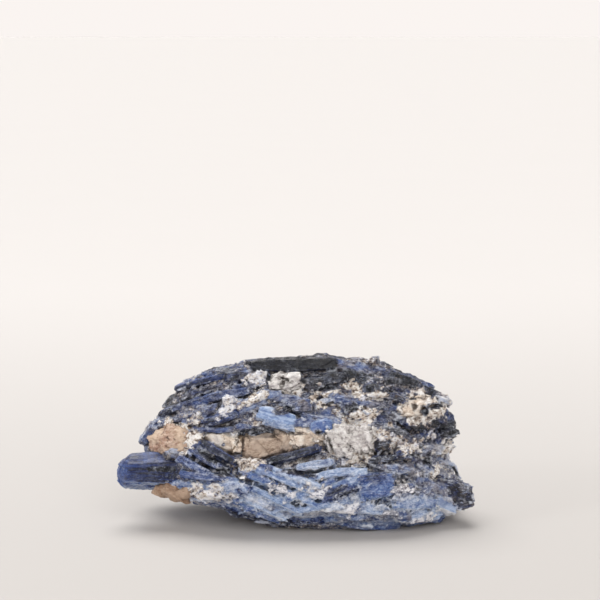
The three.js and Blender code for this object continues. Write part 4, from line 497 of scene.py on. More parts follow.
def prism(u, v, w, L, W, T, tap0, tap1, sl0, sl1, s, rough=1.0, flat=.72, bow=0.0):
    """Distance to one blade: a six-sided prism with cleavage steps on its faces and splintered ends."""
    t = np.clip(np.abs(u) / L, 0, 1.2)
    sc = 1 - (1 - np.where(u < 0, tap0, tap1)).astype(np.float32) * t ** 1.6
    strip = 0.9 + 0.22 * W                         # width of the strips that the faces are stepped in
    warp = (n1(u * 0.13, s + 1) - .5) * 1.2
    i = np.floor(v / strip + warp)
    j = np.floor(u / (2.5 + 0.45 * L) + hsh(i, 3, 0, s) * 7 + v * 0.22)
    iw = np.floor(w / (0.7 + 0.2 * T) + 0.3 * warp)
    step = hsh(i, j, 1, s)
    depth = min(0.16 * T + 0.12, 0.75) * rough
    top = (step ** 1.5) * depth + np.abs((v / strip + warp) % 1 - .5) * 0.10 * rough
    side = hsh(iw, np.floor(u / (3 + .5 * L) + hsh(iw, 5, 0, s) * 5), 2, s) ** 1.5 * min(0.12 * W + 0.12, 0.6) * rough
    Wl, Tl = W * sc - side, T * sc - top
    aw, av = np.abs(w), np.abs(v)
    d = aw - Tl
    # the four slanted sides of the section
    sg = np.sign(v)
    k = (1 - flat) * W / (1.25 * T)                      # lean of the upper right side
    k2 = (1 - flat) * W / (0.75 * T)
    ws = w * sg
    r1 = 1 / math.hypot(1, k)
    r2 = 1 / math.hypot(1, k2)
    d = np.maximum(d, (av - Wl + (ws + 0.25 * Tl) * k) * r1)
    d = np.maximum(d, (av - Wl - (ws + 0.25 * Tl) * k2) * r2)
    jag = min(0.16 * L + 0.2, 2.2) * rough
    e0 = -u - L - sl0 * v + hsh(i, iw, 7, s) * jag + bow * ((v / W) ** 2 * W + (w / T) ** 2 * T)
    e1 = u - L - sl1 * v + hsh(i, iw, 9, s) * jag + bow * ((v / W) ** 2 * W + (w / T) ** 2 * T)
    d = np.maximum(d, np.maximum(e0, e1) * 0.9)
    return d


OWN = [dict(c=np.zeros(3), a=np.array([1., 0, 0]), v=np.array([0, 0, 1.]), n=np.array([0, -1., 0]), tone=.42, grey=.8, white=.6, size=20.0, hero=0.0, crust=.52, warm=.10)]


def frame_of(a, n):
    a = np.asarray(a, float) / np.linalg.norm(a)
    n = np.asarray(n, float) - a * (np.asarray(n, float) @ a)
    n /= np.linalg.norm(n)
    return a, np.cross(a, n), n


def stamp(c, a, n, L, W, T, taps, slants, s, tone, grey, white, rough=1.0, pad=1.6, hero=0.0, flat=.72, crust=0.0, warm=.3):
    a, v, n = frame_of(a, n)
    r = np.abs(a) * (L + 0.5 * W * max(abs(slants[0]), abs(slants[1]))) + np.abs(v) * W + np.abs(n) * T + pad
    box = sub_box(np.asarray(c), r)
    if any(b.stop <= b.start for b in box):
        return
    d = prism(*local(box, c, a, v, n, 1 - .75 * hero), L, W, T, taps[0], taps[1], slants[0], slants[1], s, rough, flat, .45 * max(hero - .4, 0) + (.55 if flat < .6 else 0))
    d += GRIT[box] * np.float32(.20 * (1 - .8 * hero) * min(1, .35 + T * .5)) + CLEAVE[box] * np.float32(.31 * (1 - .85 * hero) * min(1, .3 + T * .4))
    sub = D[box]
    m = d < sub
    sub[m] = d[m]
    ID[box][m] = len(OWN)
    OWN.append(dict(c=np.asarray(c, float), a=a, v=v, n=n, tone=tone, grey=grey, white=white, size=L, hero=hero, crust=crust, warm=warm))


def main_blades(late):
    for q, b in enumerate(BLADES):
        if b[20] == late:
            stamp(b[0:3], b[3:6], b[6:9], b[9], b[10], b[11], b[12:14], b[14:16], 11 + 7 * q, b[16], b[17], b[18], 1.25 - .6 * b[19], hero=b[19], flat=b[21], crust=b[22], warm=b[23])


main_blades(0)
# the lens-shaped hollow across the front
u, v, w = local((slice(0, DIM[0]), slice(0, DIM[1] // 2), slice(0, DIM[2])), (-9.2, -21.5, 25.6), (math.cos(.03), 0, -math.sin(.03)), (0, -1, 0), (math.sin(.03), 0, math.cos(.03)))
hol = (np.sqrt((u / 19) ** 2 + (v / 6.2) ** 2 + (w / 4.3) ** 2) - 1) * 4.3
sub = D[:, :DIM[1] // 2, :]
m = -hol > sub
sub[m] = -hol[m]


main_blades(1)
N_MAIN = len(OWN)


def sample(vol, p):
    q = (p - LO) / CELL
    i = np.clip(np.floor(q).astype(int), 0, np.array(DIM) - 2)
    f = np.clip(q - i, 0, 1).astype(np.float32)
    out = 0
    for a in (0, 1):
        for b in (0, 1):
            for c in (0, 1):
                w = (f[:, 0] if a else 1 - f[:, 0]) * (f[:, 1] if b else 1 - f[:, 1]) * (f[:, 2] if c else 1 - f[:, 2])
                out = out + w * vol[i[:, 0] + a, i[:, 1] + b, i[:, 2] + c]
    return out



# small blades, splinters and flakes that lie on and between the main ones
def scatter(count, half, seed, tone_shift, near=0.35, out=0.25, back=False):
    r = np.random.default_rng(seed)
    z = r.uniform(1.0, 50.0, count * 3)
    az = r.uniform(0, 2 * np.pi, count * 3)
    xl, xr = np.interp(z, LEVEL, LEFT), np.interp(z, LEVEL, RIGHT)
    bf, bb = np.interp(z, LEVEL, FRONT), np.interp(z, LEVEL, BACK)
    a_, b_ = (xr - xl) / 2, np.where(np.sin(az) < 0, bf, bb)
    ok = r.random(count * 3) < np.hypot(a_ * np.sin(az), b_ * np.cos(az)) / 48
    z, az, a_, b_, xl, xr = (k[ok][:count] for k in (z, az, a_, b_, xl, xr))
    cs, sn = np.cos(az), np.sin(az)
    reach = (np.abs(cs) ** POWER + np.abs(sn) ** POWER) ** (-1 / POWER)
    p = np.stack([(xl + xr) / 2 + cs * reach * a_, sn * reach * b_, z], 1)
    e = 1.0
    nn = np.stack([hull_at(p + e * d) - hull_at(p - e * d) for d in np.eye(3)], 1)
    nn /= np.linalg.norm(nn, axis=1)[:, None] + 1e-9
    go = p + nn * 7
    hit = np.zeros(len(p), bool)
    for _ in range(48):
        d = sample(D, go)
        hit |= d < 0.05
        go = np.where(hit[:, None], go, go - nn * np.clip(d, 0.15, 1.0)[:, None])
    main_c = BLADES[:, 0:3]
    near_id = np.array([int(np.argmin(((main_c - g) ** 2).sum(1) - 0.6 * BLADES[:, 9] ** 2)) for g in go])
    made = 0
    at = np.clip(((go - nn * .3 - LO) / CELL).round().astype(int), 0, np.array(DIM) - 1)
    under = ID[at[:, 0], at[:, 1], at[:, 2]]
    skip = r.random(len(go))
    for g, nrm, q, ok, und, sk in zip(go, nn, near_id, hit, under, skip):
        if back and (g[1] < 4 or und != 0):
            continue
        if not ok or sk < OWN[und]["hero"] or hull_at(g[None])[0] > 3.5 or hull_at(g[None])[0] < -7:
            continue
        b = BLADES[q]
        ax = b[3:6] + r.normal(0, near, 3)
        n = nrm + r.normal(0, .22, 3)
        L = half * r.uniform(.5, 1.6)
        W = L * r.uniform(.16, .42)
        T = W * r.uniform(.3, .75)
        c = g + nrm * (T * r.uniform(-.9, .35) + out * r.uniform(-1, .4))
        a1, _, n1_ = frame_of(ax, n)
        tips = np.stack([c + a1 * L * .9, c - a1 * L * .9, c + n1_ * T])
        if sample(D, tips).max() > .55 + .25 * T:
            continue
        stamp(c, ax, n, L, W, T, r.uniform(.55, .95, 2), r.uniform(-.9, .9, 2), int(r.integers(1 << 20)),
              float(np.clip(b[16] * .85 + .05 + r.normal(tone_shift, .14), 0, 1)), float(np.clip(b[17] + r.normal(.1, .2), 0, 1)), float(r.uniform(.2, 1)), 1.0, 1.3)
        made += 1
    return made


chips = [scatter(500, 7.0, SEED + 9, .0, .12, .0, True), scatter(150, 4.8, SEED + 1, .0, .13, .1), scatter(220, 2.8, SEED + 2, .03, .22, .05)]


def blur(f, r):
    """Box mean over r mm each way."""
    n = max(1, int(round(r / CELL)))
    for ax in range(3):
        p = np.concatenate([np.repeat(np.take(f, [0], ax), n + 1, ax), f, np.repeat(np.take(f, [-1], ax), n, ax)], ax)
        s = np.cumsum(p, ax, dtype=np.float64).astype(np.float32) if False else np.cumsum(p, ax, dtype=np.float32)
        a = [slice(None)] * 3
        b = [slice(None)] * 3
        a[ax], b[ax] = slice(2 * n + 1, None), slice(0, -(2 * n + 1))
        f = (s[tuple(a)] - s[tuple(b)]) / (2 * n + 1)
    return f


# fine-grained crust fills the narrow gaps between the blades
SOFT = blur(np.clip(D, -2.5, 2.5), 1.4) + CLEAVE * .75 + GRIT * .30
low = np.clip((19 - AX[2]) / 6, 0, 1)[None, None, :] * np.clip(-AX[1] / 6, 0, 1)[None, :, None]
ends = np.clip((np.abs(AX[0]) - 34) / 10, 0, 1)[:, None, None]
f = SOFT + (.40 - .38 * low + .35 * ends * (1 - low)).astype(np.float32)
m = f < D
D[m] = f[m]
m &= (ID == 0) | (low < .5)
ID[m] = 0
del f, m

# patches of the other minerals, flush with the mass and broken along their outlines
for q, (x, y, z, nx, ny, nz, hx, hy, t, turn, tn, wm) in enumerate(CRUST):
    n = np.array([nx, ny, nz]) / math.sqrt(nx * nx + ny * ny + nz * nz)
    a = np.cross([0, 0, 1.0], n) if abs(nz) < .9 else np.array([1.0, 0, 0])
    a = -a / np.linalg.norm(a) if a[0] < 0 else a / np.linalg.norm(a)
    v = np.cross(n, a)
    c_, s_ = math.cos(math.radians(turn)), math.sin(math.radians(turn))
    a, v = a * c_ + v * s_, v * c_ - a * s_
    c = np.array([x, y, z])
    deep = t + 2.5
    box = sub_box(c, np.abs(a) * hx + np.abs(v) * hy + np.abs(n) * deep + 2.2)
    u_, v_, w_ = local(box, c, a, v, n, 2.2)
    d = (np.sqrt((u_ / hx) ** 2 + (v_ / hy) ** 2 + (w_ / deep) ** 2) - 1) * min(hx, hy) + CLEAVE[box] * 1.7 + GRIT[box] * .8
    sub, soft = D[box], SOFT[box] - np.float32(.04 + .07 * t)
    inn = d < 0
    m = inn & (soft < sub)
    sub[m] = soft[m]
    m |= inn & (soft < sub + .55)
    ID[box][m] = len(OWN)
    OWN.append(dict(c=c, a=a, v=v, n=n, tone=tn, grey=.8, white=1.0, size=hx, hero=.35, crust=1.0, warm=wm))
del SOFT

chips += [scatter(140, 2.2, SEED + 4, .04, .25, .04), scatter(420, 1.3, SEED + 3, .08, .4, .06)]


# ---------------------------------------------------------------- grains of other minerals
def grain_field(g, cell=CELL):
    name, slot, kind, b = g
    c, L, W, T = np.array(b[0:3]), b[9], b[10], b[11]
    a, v, n = frame_of(b[3:6], b[6:9])
    r = np.abs(a) * L + np.abs(v) * W + np.abs(n) * T + 2.0
    lo, hi = c - r, c + r
    dim = np.ceil((hi - lo) / cell).astype(int) + 1
    ax = [lo[k] + np.arange(dim[k]) * cell for k in range(3)]
    P = np.stack(np.meshgrid(*ax, indexing="ij"), -1).astype(np.float32)
    return lo, dim, P, a, v, n


def grain_dist(P, g):
    name, slot, kind, b = g
    c, L, W, T = np.array(b[0:3]), b[9], b[10], b[11]
    a, v, n = frame_of(b[3:6], b[6:9])
    q = P - c.astype(np.float32)
    u, vv, w = q @ a.astype(np.float32), q @ v.astype(np.float32), q @ n.astype(np.float32)
    s = sum(map(ord, name))
    if kind == 5:      # a striated sliver
        d = prism(u, vv, w, L, W, T, b[12], b[13], 0.2, -0.3, s, 1.6)
    else:
        t = np.clip(np.abs(u) / L, 0, 1.3)
        sc = 1 - (1 - np.where(u < 0, b[12], b[13])) * t ** 1.4
        d = np.maximum(np.maximum(np.abs(vv) - W * sc, np.abs(w) - T * sc), np.abs(u) - L)
        d = np.maximum(d, (np.abs(vv) / W + np.abs(w) / T - 1.45 * sc) * min(W, T) * .7)
        r = np.random.default_rng(s)
        for _ in range(14):      # broken and cleaved faces
            k = r.normal(0, 1, 3) * [.7, 1, 1]
            k /= np.linalg.norm(k)
            reach = abs(k[0]) * L + abs(k[1]) * W + abs(k[2]) * T
            d = np.maximum(d, u * k[0] + vv * k[1] + w * k[2] - reach * r.uniform(.58, .8))
        # cleaved faces
        d = d + cleave(u, vv, w, s, 4.4 if kind in (1, 4, 6) else 2.4) * (1.3 if kind == 3 else 2.3 if kind == 2 else 1.7) + cleave(u, vv, w, s + 1, 1.5) * (.5 if kind in (2, 3) else .22)
    lump = .8 if kind in (2, 3) else 0.35
    d = d + (n3(P / 2.6, s) - .5) * 1.3 * lump + (n3(P / 1.05, s + 1) - .5) * .65 * lump
    if kind in (2, 3):      # broken up small
        d = d + cleave(u, vv, w, s + 2, .95) * (.8 if kind == 3 else .3)
        if kind == 2:       # tufts of fibres, upright and spreading
            q2 = np.stack([P[..., 0] * 1.15 + (P[..., 2] - c[2]) * (P[..., 0] - c[0]) * -.05, P[..., 1] * .8, P[..., 2] * .22], -1).astype(np.float32)
            d = d + (n3(q2, s + 8) - .5) * 2.0 + (n3(q2 * 2.3, s + 9) - .5) * .8
    else:                   # cleavage steps along the grain
        st = np.floor(w / .8 + (n3(P / 3.0, s + 5) - .5) * 2 + vv * .25)
        d = d + hsh(st, 1, 0, s) * .32
    return d.astype(np.float32)


for g in GRAINS:
    b = g[3]
    c, L, W, T = np.array(b[0:3]), b[9], b[10], b[11]
    a, v, n = frame_of(b[3:6], b[6:9])
    box = sub_box(c, np.abs(a) * L + np.abs(v) * W + np.abs(n) * T + 1.2)
    P = np.stack(np.meshgrid(*[AX[k][box[k]] for k in range(3)], indexing="ij"), -1)
    d = grain_dist(P, g)
    sub = D[box]
    m = -(d + .22) > sub
    sub[m] = -(d + .22)[m]

# holes and slots: carved, and painted near-black inside as painted shade
for q, (x, y, z, hx, hy, hz, turn) in enumerate(PITS):
    r = max(hx, hy, hz) + 1
    box = sub_box(np.array([x, y, z]), np.array([r, r, r]))
    t = math.radians(turn)
    u, v, w = local(box, (x, y, z), (math.cos(t), 0, math.sin(t)), (0, 1, 0), (-math.sin(t), 0, math.cos(t)))
    d = (np.sqrt((u / hx) ** 2 + (v / hy) ** 2 + (w / hz) ** 2) - 1) * min(hx, hy, hz)
    sub = D[box]
    m = -d > sub
    sub[m] = -d[m]
    # painted shade: the inside of each hole is painted near-black (tone .02)
    ID[box][d < 0.3] = len(OWN)
    OWN.append(dict(hero=0.0, crust=0.0, warm=0.0, c=np.array([x, y, z]), a=np.array([math.cos(t), 0, math.sin(t)]), v=np.array([-math.sin(t), 0, math.cos(t)]), n=np.array([0, -1., 0]), tone=.02, grey=.8, white=0, size=2))

np.maximum(D, -AX[2][None, None, :], out=D)      # the flat it rests on
D[[0, -1]] = 2
D[:, [0, -1]] = 2
D[:, :, [0, -1]] = 2


# ---------------------------------------------------------------- surface
def nets(F, lo, cell):
    """Surface nets: vertices in mm and quads facing out."""
    s = F < 0
    c = np.zeros(tuple(n - 1 for n in F.shape), np.int8)
    for a in (0, 1):
        for b in (0, 1):
            for e in (0, 1):
                c += s[a:a + c.shape[0], b:b + c.shape[1], e:e + c.shape[2]]
    cells = np.argwhere((c > 0) & (c < 8))
    i, j, k = cells.T
    val = {(a, b, e): F[i + a, j + b, k + e] for a in (0, 1) for b in (0, 1) for e in (0, 1)}
    tot = np.zeros((len(cells), 3), np.float32)
    num = np.zeros(len(cells), np.float32)
    for p0 in val:
        for ax in range(3):
            if p0[ax] == 0:
                p1 = tuple(1 if q == ax else p0[q] for q in range(3))
                v0, v1 = val[p0], val[p1]
                x = (v0 < 0) != (v1 < 0)
                t = np.where(x, v0 / np.where(x, v0 - v1, 1), 0)
                at = np.tile(np.array(p0, np.float32), (len(cells), 1))
                at[:, ax] = t
                tot += at * x[:, None]
                num += x
    vert = (cells + tot / num[:, None]) * cell + lo
    at = np.full(c.shape, -1, np.int32)
    at[i, j, k] = np.arange(len(cells))
    quads = []
    for ax in range(3):
        o = [q for q in range(3) if q != ax]
        lo_s, hi_s = [slice(None)] * 3, [slice(None)] * 3
        lo_s[ax], hi_s[ax] = slice(0, -1), slice(1, None)
        a, b = s[tuple(lo_s)], s[tuple(hi_s)]
        e = np.argwhere(a != b)
        e = e[(e[:, o[0]] > 0) & (e[:, o[1]] > 0) & (e[:, o[0]] < c.shape[o[0]]) & (e[:, o[1]] < c.shape[o[1]])]
        ring = []
        for d0, d1 in ((-1, -1), (0, -1), (0, 0), (-1, 0)):
            g = e.copy()
            g[:, o[0]] += d0
            g[:, o[1]] += d1
            ring.append(at[g[:, 0], g[:, 1], g[:, 2]])
        q = np.stack(ring, 1)
        inside_low = a[e[:, 0], e[:, 1], e[:, 2]]
        flip = inside_low if ax == 1 else ~inside_low
        q[flip] = q[flip][:, ::-1]
        quads.append(q)
    quads = np.concatenate(quads)
    quads = quads[(quads >= 0).all(1)]
    return vert, quads, cells, val


def parts_of(nv, quads):
    """Which joined part each vertex is in."""
    lab = np.arange(nv)
    e = np.concatenate([quads[:, [0, 1]], quads[:, [1, 2]], quads[:, [2, 3]], quads[:, [3, 0]]])
    for _ in range(200):
        m = np.minimum(lab[e[:, 0]], lab[e[:, 1]])
        new = lab.copy()
        np.minimum.at(new, e[:, 0], m)
        np.minimum.at(new, e[:, 1], m)
        new = new[new]
        new = new[new]
        if (new == lab).all():
            break
        lab = new
    return lab


vert, quads, cells, val = nets(D, LO, CELL)
lab = parts_of(len(vert), quads)
ids, counts = np.unique(lab, return_counts=True)
keep_lab = ids[np.argmax(counts)]
good = lab == keep_lab
quads = quads[good[quads].all(1)]

# who owns each vertex: the blade whose surface is nearest
best = np.full(len(cells), 9e9, np.float32)
own = np.zeros(len(cells), np.int32)
for (a, b, e), f in val.items():
    m = np.abs(f) < best
    best[m] = np.abs(f)[m]
    own[m] = ID[cells[m, 0] + a, cells[m, 1] + b, cells[m, 2] + e]
used = np.zeros(len(vert), bool)
used[quads.ravel()] = True
remap = np.cumsum(used) - 1
vert, own = vert[used], own[used]
quads = remap[quads]


def grad(p, e=0.45):
    g = np.stack([sample(D, p + e * d) - sample(D, p - e * d) for d in np.eye(3)], 1)
    return g / (np.linalg.norm(g, axis=1)[:, None] + 1e-9)


nrm = grad(vert)
# how shut in (hollow) and how proud (edge) each point is; hollow drives the painted shade in the hollows and where the
# crust gathers
hollow = np.clip(1 - sample(D, vert + nrm * 1.3) / 1.3, 0, 1) * .6 + np.clip(1 - sample(D, vert + nrm * 3.0) / 3.0, 0, 1) * .4
edge = np.clip(1 + sample(D, vert - nrm * 0.8) / 0.8, 0, 1)


# ---------------------------------------------------------------- texture places
def rect_pack(sizes, margin):
    """Shelf packing into the unit square. Returns corners and the scale."""
    order = np.argsort(-sizes[:, 1])
    area = ((sizes[:, 0]) * (sizes[:, 1])).sum()
    scale = 0.93 / math.sqrt(max(area, 1e-9))
    for _ in range(60):
        x = y = shelf = 0.0
        at = np.zeros_like(sizes)
        ok = True
        for q in order:
            w, h = sizes[q] * scale + margin
            if x + w > 1:
                x, y, shelf = 0.0, y + shelf, 0.0
            if y + h > 1 or w > 1:
                ok = False
                break
            at[q] = x + margin / 2, y + margin / 2
            x += w
            shelf = max(shelf, h)
        if ok:
            return at, scale
        scale *= 0.97
    return at, scale


def chart_uv(me_verts, faces, face_owner, fn):
    """A flat map of each side of each blade, laid side by side."""
    A = np.array([o["a"] for o in OWN])
    V = np.array([o["v"] for o in OWN])
    N = np.array([o["n"] for o in OWN])
    la = np.stack([(fn * A[face_owner]).sum(1), (fn * V[face_owner]).sum(1), (fn * N[face_owner]).sum(1)], 1)
    side = np.argmax(np.abs(la), 1)
    key = face_owner.astype(np.int64) * 6 + side * 2 + (la[np.arange(len(la)), side] > 0)
    uniq, inv = np.unique(key, return_inverse=True)
    P = me_verts[faces]                                   # faces x 4 x 3
    U = (P * A[face_owner][:, None]).sum(2)
    Vv = (P * V[face_owner][:, None]).sum(2)
    Nn = (P * N[face_owner][:, None]).sum(2)
    s0 = np.where(side[:, None] == 0, Vv, U)
    s1 = np.where(side[:, None] == 2, Vv, Nn)
    n = len(uniq)
    lo0, lo1, hi0, hi1 = (np.full(n, v) for v in (1e9, 1e9, -1e9, -1e9))
    np.minimum.at(lo0, inv, s0.min(1)); np.minimum.at(lo1, inv, s1.min(1))
    np.maximum.at(hi0, inv, s0.max(1)); np.maximum.at(hi1, inv, s1.max(1))
    size = np.stack([hi0 - lo0, hi1 - lo1], 1) + 1e-3
    turn = size[:, 1] > size[:, 0]                        # every chart lies on its long side
    size[turn] = size[turn][:, ::-1]
    at, sc = rect_pack(size, 2.6 / 1024)
    x, y = s0 - lo0[inv][:, None], s1 - lo1[inv][:, None]
    t = turn[inv][:, None]
    x, y = np.where(t, y, x), np.where(t, x, y)
    return np.stack([at[inv][:, None, 0] + x * sc, at[inv][:, None, 1] + y * sc], 2)


def face_normals(v, f):
    n = np.cross(v[f[:, 2]] - v[f[:, 0]], v[f[:, 3]] - v[f[:, 1]])
    return n / (np.linalg.norm(n, axis=1)[:, None] + 1e-12)


def make_mesh(name, v, f, attrs, uv, node, material):
    me = bpy.data.meshes.new(name)
    me.vertices.add(len(v))
    me.vertices.foreach_set("co", ((v + SHIFT) / 1000).astype(np.float32).ravel())
    me.loops.add(f.size)
    me.loops.foreach_set("vertex_index", f.astype(np.int32).ravel())
    me.polygons.add(len(f))
    me.polygons.foreach_set("loop_start", np.arange(0, f.size, 4, dtype=np.int32))
    me.update(calc_edges=True)
    me.polygons.foreach_set("use_smooth", np.ones(len(f), bool))
    if uv is not None:
        layer = me.uv_layers.new(name="OFBake")
        layer.data.foreach_set("uv", uv.astype(np.float32).ravel())
    for k, a in attrs.items():
        if a.ndim == 2:
            me.attributes.new(k, "FLOAT_VECTOR", "POINT").data.foreach_set("vector", a.astype(np.float32).ravel())
        else:
            me.attributes.new(k, "FLOAT", "POINT").data.foreach_set("value", a.astype(np.float32).ravel())
    me.validate()
    me.set_sharp_from_angle(angle=math.radians(36))
    ob = bpy.data.objects.new(name, me)
    bpy.context.scene.collection.objects.link(ob)
    me.materials.append(material)
    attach(ob, "root")
    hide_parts(node)
    return ob


# ---------------------------------------------------------------- materials
class Nodes:
    """Short hand for building a node tree."""
    def __init__(self, name):
        self.mat = bpy.data.materials.new(name)
        self.mat.use_nodes = True
        self.nt = self.mat.node_tree
        self.nt.nodes.clear()

    def new(self, kind, **k):
        n = self.nt.nodes.new(kind)
        for a, v in k.items():
            setattr(n, a, v)
        return n

    def put(self, socket, v):
        if isinstance(v, bpy.types.NodeSocket):
            self.nt.links.new(v, socket)
        elif v is not None:
            socket.default_value = v

    def attr(self, name, vector=False):
        n = self.new("ShaderNodeAttribute", attribute_name=name)
        return n.outputs["Vector" if vector else "Fac"]

    def math(self, op, a, b=None, c=None, clamp=False):
        n = self.new("ShaderNodeMath", operation=op, use_clamp=clamp)
        for s, v in zip(n.inputs, (a, b, c)):
            self.put(s, v)
        return n.outputs[0]

    def add(self, a, b): return self.math("ADD", a, b)
    def mul(self, a, b): return self.math("MULTIPLY", a, b)
    def sub(self, a, b): return self.math("SUBTRACT", a, b)

    def scale(self, vec, s):
        n = self.new("ShaderNodeVectorMath", operation="MULTIPLY")
        self.put(n.inputs[0], vec)
        n.inputs[1].default_value = s
        return n.outputs[0]

    def noise(self, vec, scale=1.0, detail=4.0, rough=0.55, distortion=0.0):
        n = self.new("ShaderNodeTexNoise")
        self.put(n.inputs["Vector"], vec)
        n.inputs["Scale"].default_value = scale
        n.inputs["Detail"].default_value = detail
        n.inputs["Roughness"].default_value = rough
        n.inputs["Distortion"].default_value = distortion
        return n.outputs["Fac"]

    def voronoi(self, vec, scale=1.0, feature="F1", out="Distance"):
        n = self.new("ShaderNodeTexVoronoi", feature=feature)
        self.put(n.inputs["Vector"], vec)
        n.inputs["Scale"].default_value = scale
        return n.outputs[out]

    def step(self, v, a, b, lo=0.0, hi=1.0):
        n = self.new("ShaderNodeMapRange", interpolation_type="SMOOTHSTEP")
        self.put(n.inputs["Value"], v)
        for k, x in zip(("From Min", "From Max", "To Min", "To Max"), (a, b, lo, hi)):
            n.inputs[k].default_value = x
        return n.outputs["Result"]

    def ramp(self, v, stops):
        n = self.new("ShaderNodeValToRGB")
        self.put(n.inputs["Fac"], v)
        e = n.color_ramp.elements
        while len(e) < len(stops):
            e.new(0.5)
        for x, (p, c) in zip(e, stops):
            x.position = p
            x.color = (*c, 1)
        return n.outputs["Color"]

    def mix(self, f, a, b, blend="MIX"):
        n = self.new("ShaderNodeMix", data_type="RGBA", blend_type=blend)
        self.put(n.inputs[0], f)
        for s, v in zip((n.inputs[6], n.inputs[7]), (a, b)):
            self.put(s, (*v, 1) if isinstance(v, tuple) and len(v) == 3 else v)
        return n.outputs[2]

    def bump(self, h, strength, dist, normal=None):
        n = self.new("ShaderNodeBump")
        n.inputs["Strength"].default_value = strength
        n.inputs["Distance"].default_value = dist
        self.put(n.inputs["Height"], h)
        self.put(n.inputs["Normal"], normal)
        return n.outputs["Normal"]

    def shader(self, color, rough, normal, ior=1.5, coat=0.0, spec=0.5, sss=0.0, radius=(1, 1, 1)):
        b = self.new("ShaderNodeBsdfPrincipled")
        o = self.new("ShaderNodeOutputMaterial")
        self.put(b.inputs["Base Color"], color)
        self.put(b.inputs["Roughness"], rough)
        self.put(b.inputs["Normal"], normal)
        b.inputs["IOR"].default_value = ior
        b.inputs["Coat Weight"].default_value = coat
        b.inputs["Specular IOR Level"].default_value = spec
        b.inputs["Coat Roughness"].default_value = 0.12
        if sss:
            b.inputs["Subsurface Weight"].default_value = sss
            b.inputs["Subsurface Radius"].default_value = radius
            b.inputs["Subsurface Scale"].default_value = 0.0012
        self.nt.links.new(b.outputs[0], o.inputs["Surface"])
        return self.mat


